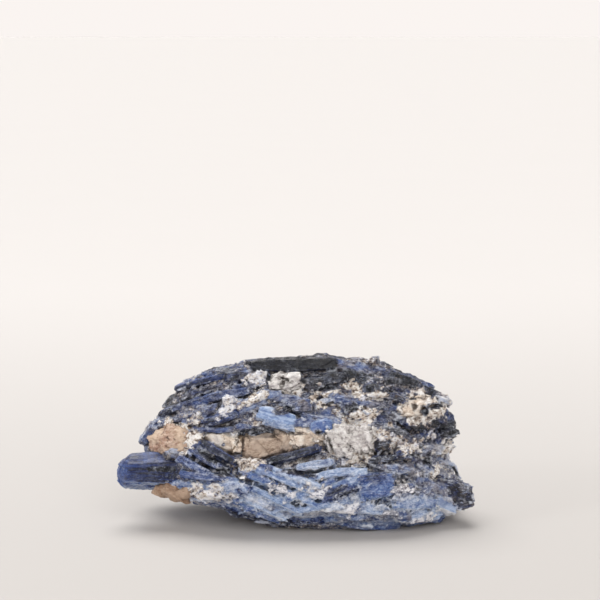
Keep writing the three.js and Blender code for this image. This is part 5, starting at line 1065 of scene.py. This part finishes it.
def kyanite():
    m = Nodes("kyanite")
    loc = m.attr("loc", True)
    tone, grey, white, hero = m.attr("tone"), m.attr("grey"), m.attr("white"), m.attr("hero")
    shift = m.attr("shift")
    hollow, edge, crust, warm = m.attr("hollow"), m.attr("edge"), m.attr("crust"), m.attr("warm")
    pos = m.scale(m.new("ShaderNodeTexCoord").outputs["Object"], (1000, 1000, 1000))
    # the streaks waver a little
    wob = m.new("ShaderNodeVectorMath", operation="MULTIPLY_ADD")
    nz = m.new("ShaderNodeTexNoise")
    m.put(nz.inputs["Vector"], pos)
    nz.inputs["Scale"].default_value = .55
    nz.inputs["Detail"].default_value = 3
    m.put(wob.inputs[0], nz.outputs["Color"])
    wob.inputs[1].default_value = (1.6, 1.1, 1.1)
    m.put(wob.inputs[2], loc)
    loc = wob.outputs[0]
    streak = m.noise(m.scale(loc, (0.10, 1.3, 1.3)), 1.0, 6, .65)            # long streaks down the blade
    fibre = m.noise(m.scale(loc, (0.26, 3.6, 3.6)), 1.0, 6, .72)             # fibres
    zone = m.noise(m.scale(pos, (0.11, 0.11, 0.14)), 1.0, 4, .6)             # slow colour zoning through the mass
    mott = m.noise(m.scale(pos, (.75, .75, .85)), 1.0, 8, .74)               # mottling
    calm = m.step(hero, .86, 1.0, 1.0, .30)
    flank = m.attr("flank")
    bright = m.step(shift, -.20, .02, .34, 1.0)
    t = m.add(m.add(tone, shift), m.mul(m.sub(streak, .5), .75))
    t = m.add(t, m.mul(m.sub(zone, .5), .45))
    t = m.add(t, m.mul(m.sub(m.step(flank, .12, .75), .25), .20))
    t = m.add(t, m.mul(m.mul(m.sub(fibre, .5), .80), calm))
    t = m.add(t, m.mul(m.mul(m.sub(mott, .5), .85), calm))
    base = m.ramp(t, [(0.0, (.004, .005, .010)), (.10, (.008, .010, .028)), (.22, (.014, .026, .100)), (.36, (.030, .066, .225)), (.50, (.080, .140, .335)),
                      (.62, (.18, .265, .46)), (.76, (.36, .45, .63)), (.90, (.58, .65, .78)), (1.0, (.80, .82, .87))])
    dull = m.ramp(t, [(0.0, (.003, .003, .005)), (.15, (.007, .0065, .013)), (.33, (.025, .023, .042)), (.50, (.105, .101, .138)), (.72, (.32, .31, .34)), (.88, (.58, .57, .60)), (1.0, (.80, .79, .80))])
    g = m.math("MULTIPLY", grey, m.step(m.noise(m.scale(pos, (.3, .3, .4)), 1.0, 4, .65), .36, .62, .35, 1.3), clamp=True)
    col = m.mix(g, base, dull)
    # brown staining here and there
    stain = m.step(m.noise(m.scale(pos, (.33, .33, .5)), 1.0, 6, .7), .57, .68)
    col = m.mix(m.mul(m.mul(stain, g), .55), col, (.17, .125, .085))
    # pale splintered streaks
    where = m.step(m.noise(m.scale(pos, (.28, .28, .36)), 1.0, 4, .6), .40, .60)
    pale = m.step(m.noise(m.scale(loc, (.30, 3.4, 3.4)), 1.0, 8, .80), .49, .59)
    pale = m.mul(m.mul(pale, where), m.mul(m.step(calm, .3, 1.0, .35, 1.0), m.add(m.mul(white, .9), .35)))
    pale = m.mul(m.math("MINIMUM", m.add(pale, m.mul(m.math("MAXIMUM", shift, 0.0), m.mul(pale, 1.2))), 1.0), bright)
    col = m.mix(pale, col, m.mix(m.step(mott, .45, .6), (.42, .48, .66), (.80, .81, .87)))
    # frosted, milky parts
    haze = m.step(m.add(m.noise(m.scale(pos, (.30, .30, .38)), 1.0, 4, .6), m.mul(m.sub(mott, .5), .55)), .50, .66)
    haze = m.mul(m.mul(haze, m.mul(bright, .26)), m.step(calm, .3, 1.0, .35, 1.0))
    col = m.mix(haze, col, m.mix(g, (.33, .39, .56), (.47, .46, .52)))
    # worn edges
    worn = m.mul(m.step(edge, .22, .70), m.step(m.add(mott, m.mul(white, .14)), .47, .62))
    col = m.mix(m.mul(m.mul(worn, bright), .75), col, (.66, .69, .77))
    crack = m.step(m.noise(m.scale(loc, (2.4, .3, .3)), 1.0, 4, .6), .62, .67)
    col = m.mix(m.mul(m.mul(crack, .30), m.step(calm, .3, 1.0, .15, 1.0)), col, (.50, .56, .70))
    # small black pieces and slots
    dark = m.step(m.noise(m.scale(loc, (.55, 1.9, 1.9)), 1.0, 5, .7), .635, .68)
    col = m.mix(m.mul(dark, m.mul(calm, .92)), col, (.010, .010, .016))
    # granular crust: grains of white, cream, grey, blue and black
    off = m.new("ShaderNodeVectorMath", operation="MULTIPLY_ADD")
    m.put(off.inputs[0], nz.outputs["Color"])
    off.inputs[1].default_value = (3.2, 3.2, 3.2)
    m.put(off.inputs[2], pos)
    vor = m.new("ShaderNodeTexVoronoi", feature="F1")
    m.put(vor.inputs["Vector"], m.scale(off.outputs[0], (.85, .85, 1.1)))
    vor.inputs["Scale"].default_value = 1.0
    vor.inputs["Detail"].default_value = 2.0
    vor.inputs["Roughness"].default_value = .6
    sep = m.new("ShaderNodeSeparateColor")
    m.put(sep.inputs[0], vor.outputs["Color"])
    c1, c2 = sep.outputs[0], sep.outputs[1]
    lump = m.noise(m.scale(pos, (.62, .62, .85)), 1.0, 3, .55)
    k = m.add(m.add(m.mul(m.sub(c1, .5), .30), m.mul(m.sub(lump, .5), 1.15)), m.mul(m.sub(mott, .5), 1.15))
    k = m.add(k, m.mul(m.sub(fibre, .5), .75))
    k = m.add(m.add(k, .485), m.add(m.mul(m.sub(tone, .70), .36), m.mul(shift, .45)))
    cold = m.ramp(k, [(.24, (.012, .012, .020)), (.34, (.052, .058, .10)), (.44, (.19, .205, .28)), (.56, (.45, .46, .54)), (.72, (.84, .83, .87))])
    hot = m.ramp(k, [(.24, (.022, .014, .012)), (.34, (.11, .078, .062)), (.44, (.36, .285, .23)), (.56, (.63, .54, .465)), (.72, (.88, .85, .82))])
    wf = m.step(m.sub(m.mul(shift, -1.6), -1.0), .75, 1.0)
    wf = m.mul(wf, m.step(m.add(m.mul(m.sub(c2, .5), .5), m.add(warm, m.mul(m.sub(zone, .5), .8))), .18, .52))
    crusty = m.mix(wf, cold, hot)
    speck = m.step(m.noise(m.scale(pos, (1.7, 1.7, 2.2)), 1.0, 5, .7), .60, .655)
    crusty = m.mix(m.mul(speck, .65), crusty, m.mix(wf, (.016, .015, .022), (.035, .022, .016)))
    patch = m.noise(m.scale(pos, (.42, .42, .55)), 1.0, 6, .72)
    cm = m.add(m.add(crust, m.mul(m.sub(patch, .5), 2.5)), m.add(m.mul(hollow, .35), m.mul(m.sub(white, .5), .5)))
    cm = m.add(m.sub(cm, m.mul(m.math("MAXIMUM", shift, 0.0), 1.5)), m.mul(m.sub(fibre, .5), 1.6))
    cm = m.mul(m.step(cm, .38, .80), m.mul(m.step(hero, .75, .98, 1.0, .25), m.step(shift, -.3, .0, .55, 1.0)))
    col = m.mix(cm, col, crusty)
    # painted shade: the deepest hollows between the blades are painted near-black
    deep = m.step(hollow, .50, 1.0)
    col = m.mix(m.mul(deep, .68), col, (.011, .012, .018))
    rough = m.step(m.add(m.mul(fibre, .5), m.mul(mott, .5)), .42, .58, .10, .42)
    rough = m.add(rough, m.mul(cm, .22))
    rough = m.add(rough, m.mul(pale, .12))
    h = m.add(m.mul(fibre, .8), m.mul(streak, .6))
    h = m.add(m.mul(h, calm), m.mul(mott, .7))
    h = m.add(h, m.mul(m.mul(c1, cm), .22))
    n = m.bump(h, .65, .00045)
    return m.shader(col, rough, n, ior=1.52, coat=0.04, spec=0.30)


def mineral(name, lo, mid, hi, stain, rough=(.45, .75), aniso=(0.4, 2.2, 2.2), glow=0.0, flecks=.6, veil=None):
    m = Nodes(name)
    loc = m.attr("loc", True)
    hollow = m.attr("hollow")
    a = m.noise(m.scale(loc, (.35, .5, .5)), 1.0, 5, .6)
    b = m.noise(m.scale(loc, aniso), 1.0, 5, .6)
    c = m.noise(m.scale(loc, (3.5, 4.5, 4.5)), 1.0, 4, .6)
    t = m.add(m.mul(a, .5), m.add(m.mul(b, .35), m.mul(c, .15)))
    col = m.ramp(t, [(.36, lo), (.48, mid), (.60, hi)])
    spot = m.step(m.noise(m.scale(loc, (.9, 1.2, 1.2)), 1.0, 7, .72), .56, .66)
    # painted shade: dark brown patches at the listed places, frayed by noise, stand in for the shade of slots and
    # holes
    painted_slot_shade = m.attr("painted_slot_shade")
    painted_slot_shade = m.mul(m.step(m.add(painted_slot_shade, m.mul(m.sub(m.noise(m.scale(loc, (1.1, 1.6, 3.2)), 1.0, 6, .7), .5), 2.2)), .30, .62), m.step(painted_slot_shade, .08, .3))
    col = m.mix(m.mul(spot, .60), col, stain)
    fleck = m.step(m.voronoi(m.scale(loc, (1.9, 1.9, 1.9)), 1.0), .16, .10)
    col = m.mix(m.mul(fleck, flecks), col, (.05, .035, .025))
    line = m.step(m.noise(m.scale(loc, (.5, 5.0, 5.0)), 1.0, 3, .5), .60, .66)
    col = m.mix(m.mul(line, .35), col, stain)
    col = m.mix(m.mul(painted_slot_shade, .93), col, (.045, .026, .018))
    # painted shade: the hollows of the grain, the rims of its slots and where the main mass shuts it in are painted
    # dark brown
    deep = m.step(hollow, .30, .85)
    col = m.mix(m.mul(deep, .80), col, (.045, .028, .018))
    r = m.step(b, .3, .7, *rough)
    pos = m.scale(m.new("ShaderNodeTexCoord").outputs["Object"], (1000, 1000, 1000))
    mott = m.noise(m.scale(pos, (1.1, 1.1, 1.3)), 1.0, 8, .75)
    speck = m.step(mott, .60, .66)
    col = m.mix(m.mul(speck, flecks), col, (.045, .032, .026))
    if veil:
        col = m.mix(m.mul(m.step(m.noise(m.scale(pos, (.22, .22, .26)), 1.0, 4, .6), .44, .60), .75), col, veil)
    if glow:
        col = m.mix(m.mul(m.step(m.noise(m.scale(loc, (.4, 1.3, 1.3)), 1.0, 7, .72), .47, .57), glow), col, (.93, .90, .87))
    h = m.add(m.add(m.mul(b, .6), m.mul(c, .5)), m.mul(mott, .8))
    n = m.bump(h, .9, .0005)
    return m.shader(col, r, n, ior=1.54, coat=0.05)


KYANITE = kyanite()
MINERAL = {
    "feldspar_pink": mineral("feldspar_pink", (.27, .14, .10), (.50, .315, .235), (.80, .65, .54), (.52, .37, .19), flecks=.40, veil=(.72, .565, .43)),
    "feldspar_cream": mineral("feldspar_cream", (.46, .32, .23), (.80, .68, .57), (.93, .86, .78), (.26, .155, .09), flecks=.45, veil=(.90, .85, .80)),
    "feldspar_brown": mineral("feldspar_brown", (.07, .045, .03), (.24, .17, .11), (.52, .42, .30), (.05, .035, .03), aniso=(.25, 4.0, 4.0)),
    "feldspar_tan": mineral("feldspar_tan", (.16, .105, .075), (.40, .29, .22), (.70, .57, .45), (.13, .08, .055), veil=(.60, .48, .39)),
    "feldspar_orange": mineral("feldspar_orange", (.17, .088, .052), (.34, .21, .135), (.58, .42, .31), (.12, .065, .038), flecks=.4, veil=(.52, .37, .27)),
    "quartz_white": mineral("quartz_white", (.22, .20, .22), (.60, .555, .545), (.93, .90, .89), (.36, .28, .24), rough=(.22, .5), glow=.75, flecks=.45),
}



# ---------------------------------------------------------------- pieces
C = np.array([o["c"] for o in OWN]); A = np.array([o["a"] for o in OWN]); V = np.array([o["v"] for o in OWN]); N = np.array([o["n"] for o in OWN])
tone = np.array([o["tone"] for o in OWN]); grey = np.array([o["grey"] for o in OWN]); white = np.array([o["white"] for o in OWN])
rel = vert - C[own]
loc = np.stack([(rel * A[own]).sum(1), (rel * V[own]).sum(1), (rel * N[own]).sum(1)], 1)
loc = loc + (hsh(own, 1, 0, 3)[:, None] * np.array([311.0, 173.0, 71.0]))
crust_o = np.array([o['crust'] for o in OWN]); warm_o = np.array([o['warm'] for o in OWN]); hero_o = np.array([o['hero'] for o in OWN])
EDGES = np.concatenate([quads[:, [0, 1]], quads[:, [1, 2]], quads[:, [2, 3]], quads[:, [3, 0]]])
DEG = np.bincount(EDGES[:, 0], minlength=len(vert)) + np.bincount(EDGES[:, 1], minlength=len(vert))


def blend(x, turns, keep):
    """Soften a value across the seams between the blades."""
    y = x.astype(float)
    for _ in range(turns):
        y = .5 * y + .5 * (np.bincount(EDGES[:, 0], y[EDGES[:, 1]], len(vert)) + np.bincount(EDGES[:, 1], y[EDGES[:, 0]], len(vert))) / DEG
    return keep * x + (1 - keep) * y


shift = sum(d * np.exp(-((vert[:, 0] - x) / rx) ** 2 - ((vert[:, 2] - z) / rz) ** 2) for x, z, rx, rz, d in ZONES)
calm = 1 - .7 * hero_o[own]
gshift = sum(d * np.exp(-((vert[:, 0] - x) / rx) ** 2 - ((vert[:, 2] - z) / rz) ** 2) for x, z, rx, rz, d in GREYS) * (1 - .8 * (hero_o[own] > .88))
# painted light on the clean blade at the left end, by which way each face points: a painted sheen makes the top
# greyer, the underside is painted paler, and the front stays deep blue, painted lighter towards the tip
clean = blend((hero_o[own] > .95).astype(float), 2, .5)
upw, dnw = np.clip(nrm[:, 2] * 2.2 - .7, 0, 1), np.clip(-nrm[:, 2] * 2.4 - .55, 0, 1)
tip = np.exp(-((vert[:, 0] - LIT_TIP_X) / 5.0) ** 2)
painted_facing_tone = clean * (upw * .07 + dnw * .32 + (1 - upw) * (1 - dnw) * (.18 * tip - .05))
painted_facing_grey = clean * (upw * .60 + dnw * .35)
# tone and grey carry the painted facing light of the clean blade
attrs = dict(loc=loc, shift=shift * calm, crust=blend(crust_o[own], 9, .22), warm=blend(warm_o[own], 9, .15), tone=blend(tone[own], 5, .45) + painted_facing_tone, grey=np.clip(blend(grey[own], 6, .3) + gshift + painted_facing_grey, 0, 1), white=blend(white[own], 6, .3), hero=blend(hero_o[own], 3, .5), flank=blend(1 - np.abs((nrm * N[own]).sum(1)), 2, .5), rnd=hsh(own, 2, 0, 9), hollow=hollow, edge=edge)
fo = own[quads[:, 0]]
fc = vert[quads].mean(1)
# faces go to pieces by the blade they belong to, in runs along the mass
N_PIECES = 6
near_main = np.argmin(((fc[fo == 0][:, None, :] - BLADES[None, :, 0:3]) ** 2).sum(2), 1) if (fo == 0).any() and (fo == 0).sum() < 40000 else None
group_x = np.zeros(len(OWN))
cnt = np.bincount(fo, minlength=len(OWN))
np.add.at(group_x, fo, fc[:, 0])
group_x = group_x / np.maximum(cnt, 1)
face_x = np.where(fo == 0, fc[:, 0], group_x[fo])
cuts = np.quantile(face_x, np.linspace(0, 1, N_PIECES + 1)[1:-1])
grp = np.searchsorted(cuts, face_x)
total = 0
PIECE_NAMES = ["blades_left_end", "blades_left", "blades_centre_left", "blades_centre_right", "blades_right", "blades_right_end"]
for q in range(N_PIECES):
    f = quads[grp == q]
    ids, inv = np.unique(f, return_inverse=True)
    f2 = inv.reshape(-1, 4)
    v2 = vert[ids]
    fn = face_normals(v2, f2)
    uv = chart_uv(v2, f2, fo[grp == q], fn)
    make_mesh(PIECE_NAMES[q], v2, f2, {k: a[ids] for k, a in attrs.items()}, uv, "kyanite_cluster", KYANITE)
    total += 2 * len(f2)
    print("PIECE", PIECE_NAMES[q], 2 * len(f2))

for g in GRAINS:
    name, slot, kind, b = g
    cell = CELL * .88
    lo, dim, P, a, v, n = grain_field(g, cell)
    d = grain_dist(P, g)
    slot_d = np.full(d.shape, 9.0, np.float32)
    for x, y, z, hx, hy, hz, turn in PITS:
        if (np.abs(np.array([x, y, z]) - b[0:3]) < [L + hx + 3, L + 6, L + 6]).all():
            th = math.radians(turn)
            pu = (P[..., 0] - x) * math.cos(th) + (P[..., 2] - z) * math.sin(th)
            pw = -(P[..., 0] - x) * math.sin(th) + (P[..., 2] - z) * math.cos(th)
            slot_d = np.minimum(slot_d, (np.sqrt((pu / hx) ** 2 + ((P[..., 1] - y) / (hy + .8)) ** 2 + (pw / hz) ** 2) - 1) * min(hx, hy, hz))
    slot_d += (n3(P / .9, 77) - .5) * .5
    d = np.maximum(d, -slot_d)
    d[[0, -1]] = 2; d[:, [0, -1]] = 2; d[:, :, [0, -1]] = 2
    gv, gq, _, _ = nets(d, lo, cell)
    gl = parts_of(len(gv), gq)
    ids, cn = np.unique(gl, return_counts=True)
    ok = gl == ids[np.argmax(cn)]
    gq = gq[ok[gq].all(1)]
    ids, inv = np.unique(gq, return_inverse=True)
    gv, gq = gv[ids], inv.reshape(-1, 4)
    q = gv - np.array(b[0:3])
    gloc = np.stack([q @ a, q @ v, q @ n], 1)
    i = np.clip(((gv - lo) / cell).astype(int), 1, dim - 2)
    # hollows between the knobs, from the field just outside, with the rims of the slots and the places the main mass
    # shuts in: where the grain gets painted shade
    e = 0.8
    gg = np.stack([d[tuple((np.clip(((gv + e * k - lo) / cell).round().astype(int), 0, dim - 1)).T)] - d[tuple((np.clip(((gv - e * k - lo) / cell).round().astype(int), 0, dim - 1)).T)] for k in np.eye(3)], 1)
    gg /= np.linalg.norm(gg, axis=1)[:, None] + 1e-9
    od = d[tuple((np.clip(((gv + gg * 1.0 - lo) / cell).round().astype(int), 0, dim - 1)).T)]
    hol = np.clip(1 - od / 1.0, 0, 1)
    around = np.clip(1 - sample(D, gv + gg * 1.5) / 1.5, 0, 1)
    near_slot = np.clip(1.1 - slot_d[tuple((np.clip(((gv - lo) / cell).round().astype(int), 0, dim - 1)).T)] / .45, 0, 1)
    hol = np.maximum(hol, near_slot)
    # painted shade for slots and holes, at the listed places
    painted_slot_shade = sum(s * np.exp(-((gv[:, 0] - x) / rx) ** 2 - ((gv[:, 2] - z) / rz) ** 2) for x, z, rx, rz, s in SLOT_SHADES)
    make_mesh(name + "_grain", gv, gq, dict(loc=gloc, hollow=np.maximum(hol, around * .8), painted_slot_shade=painted_slot_shade, rnd=np.full(len(gv), .5)), None, name, MINERAL[slot])
    total += 2 * len(gq)
    print("GRAIN", name, 2 * len(gq))
print("TRIANGLES", total, "chips", chips, "verts", len(vert))

# ---------------------------------------------------------------- floor, light, camera
def floor():
    me = bpy.data.meshes.new("floor")
    far = 40.0
    me.from_pydata([(-far, -far, 0), (far, -far, 0), (far, far, 0), (-far, far, 0)], [], [(0, 1, 2, 3)])
    ob = bpy.data.objects.new("floor", me)
    bpy.context.scene.collection.objects.link(ob)
    m = Nodes("floor")
    at = m.new("ShaderNodeTexCoord").outputs["Object"]
    n = m.noise(m.scale(at, (9, 9, 9)), 1.0, 2, .5)
    ax = m.new("ShaderNodeSeparateXYZ")
    m.put(ax.inputs[0], at)
    far_off = m.new("ShaderNodeVectorMath", operation="LENGTH")
    m.put(far_off.inputs[0], at)
    # painted light on the floor: darker towards the camera as painted shade, lighter far off as painted light
    back = m.math("MAXIMUM", m.step(ax.outputs[1], -.20, .55), m.step(far_off.outputs["Value"], .25, 1.3))
    tone = m.ramp(back, [(0.0, (.515, .488, .468)), (.42, (.585, .557, .538)), (1.0, (.685, .655, .638))])
    me.materials.append(m.shader(m.mix(m.mul(n, .04), tone, (.5, .48, .46)), .75, None, ior=1.3))


floor()
# an even pale surround, brightest low down
world = bpy.data.worlds.new("studio")
bpy.context.scene.world = world
world.use_nodes = True
wt = world.node_tree
bg = wt.nodes["Background"]
tc = wt.nodes.new("ShaderNodeTexCoord")
sx = wt.nodes.new("ShaderNodeSeparateXYZ")
wt.links.new(tc.outputs["Generated"], sx.inputs[0])
wr = wt.nodes.new("ShaderNodeValToRGB")
wt.links.new(sx.outputs["Z"], wr.inputs["Fac"])
we = wr.color_ramp.elements
we[0].position, we[0].color = .04, (.96, .91, .88, 1)
we[1].position, we[1].color = .42, (.40, .40, .40, 1)
wt.links.new(wr.outputs["Color"], bg.inputs["Color"])
bg.inputs["Strength"].default_value = 1.0


def area(name, at, to, size, power, color=(1, 1, 1)):
    l = bpy.data.lights.new(name, "AREA")
    l.shape = "RECTANGLE"
    l.size, l.size_y = size
    l.energy = power
    l.color = color
    o = bpy.data.objects.new(name, l)
    bpy.context.scene.collection.objects.link(o)
    d = np.array(to, float) - np.array(at, float)
    o.location = at
    from mathutils import Vector
    o.rotation_euler = Vector(d).to_track_quat("-Z", "Y").to_euler()
    return o


def sun(name, frm, strength, angle, color=(1, 1, 1)):
    l = bpy.data.lights.new(name, "SUN")
    l.energy = strength
    l.angle = math.radians(angle)
    l.color = color
    o = bpy.data.objects.new(name, l)
    bpy.context.scene.collection.objects.link(o)
    from mathutils import Vector
    o.rotation_euler = Vector(frm).to_track_quat("Z", "Y").to_euler()
    return o


sun("key_top", (-.16, .36, .90), 2.6, 50, (1, .99, .97))
sun("front_fill", (.25, -.75, .45), 1.2, 40, (1, .985, .965))
area("side_left", (-.6, -.35, .30), (0, 0, .02), (.12, .12), 1.0, (.97, .98, 1))

sc = bpy.context.scene
cam = bpy.data.cameras.new("camera")
co = bpy.data.objects.new("camera", cam)
sc.collection.objects.link(co)
cam.sensor_width = 36.0
cam.lens = 36.0 * 2000.0 / 600.0
from mathutils import Matrix, Vector
fwd = Vector((0.002971, 0.99048, -0.137623))
right = Vector((0.999996, -0.003, 0.0))
upv = right.cross(fwd)
pos = Vector((-0.000109, -0.5886, 0.147347))
co.matrix_world = Matrix(((right.x, upv.x, -fwd.x, pos.x), (right.y, upv.y, -fwd.y, pos.y), (right.z, upv.z, -fwd.z, pos.z), (0, 0, 0, 1)))
cam.clip_start, cam.clip_end = 0.02, 20
sc.camera = co
sc.view_settings.view_transform = "Standard"
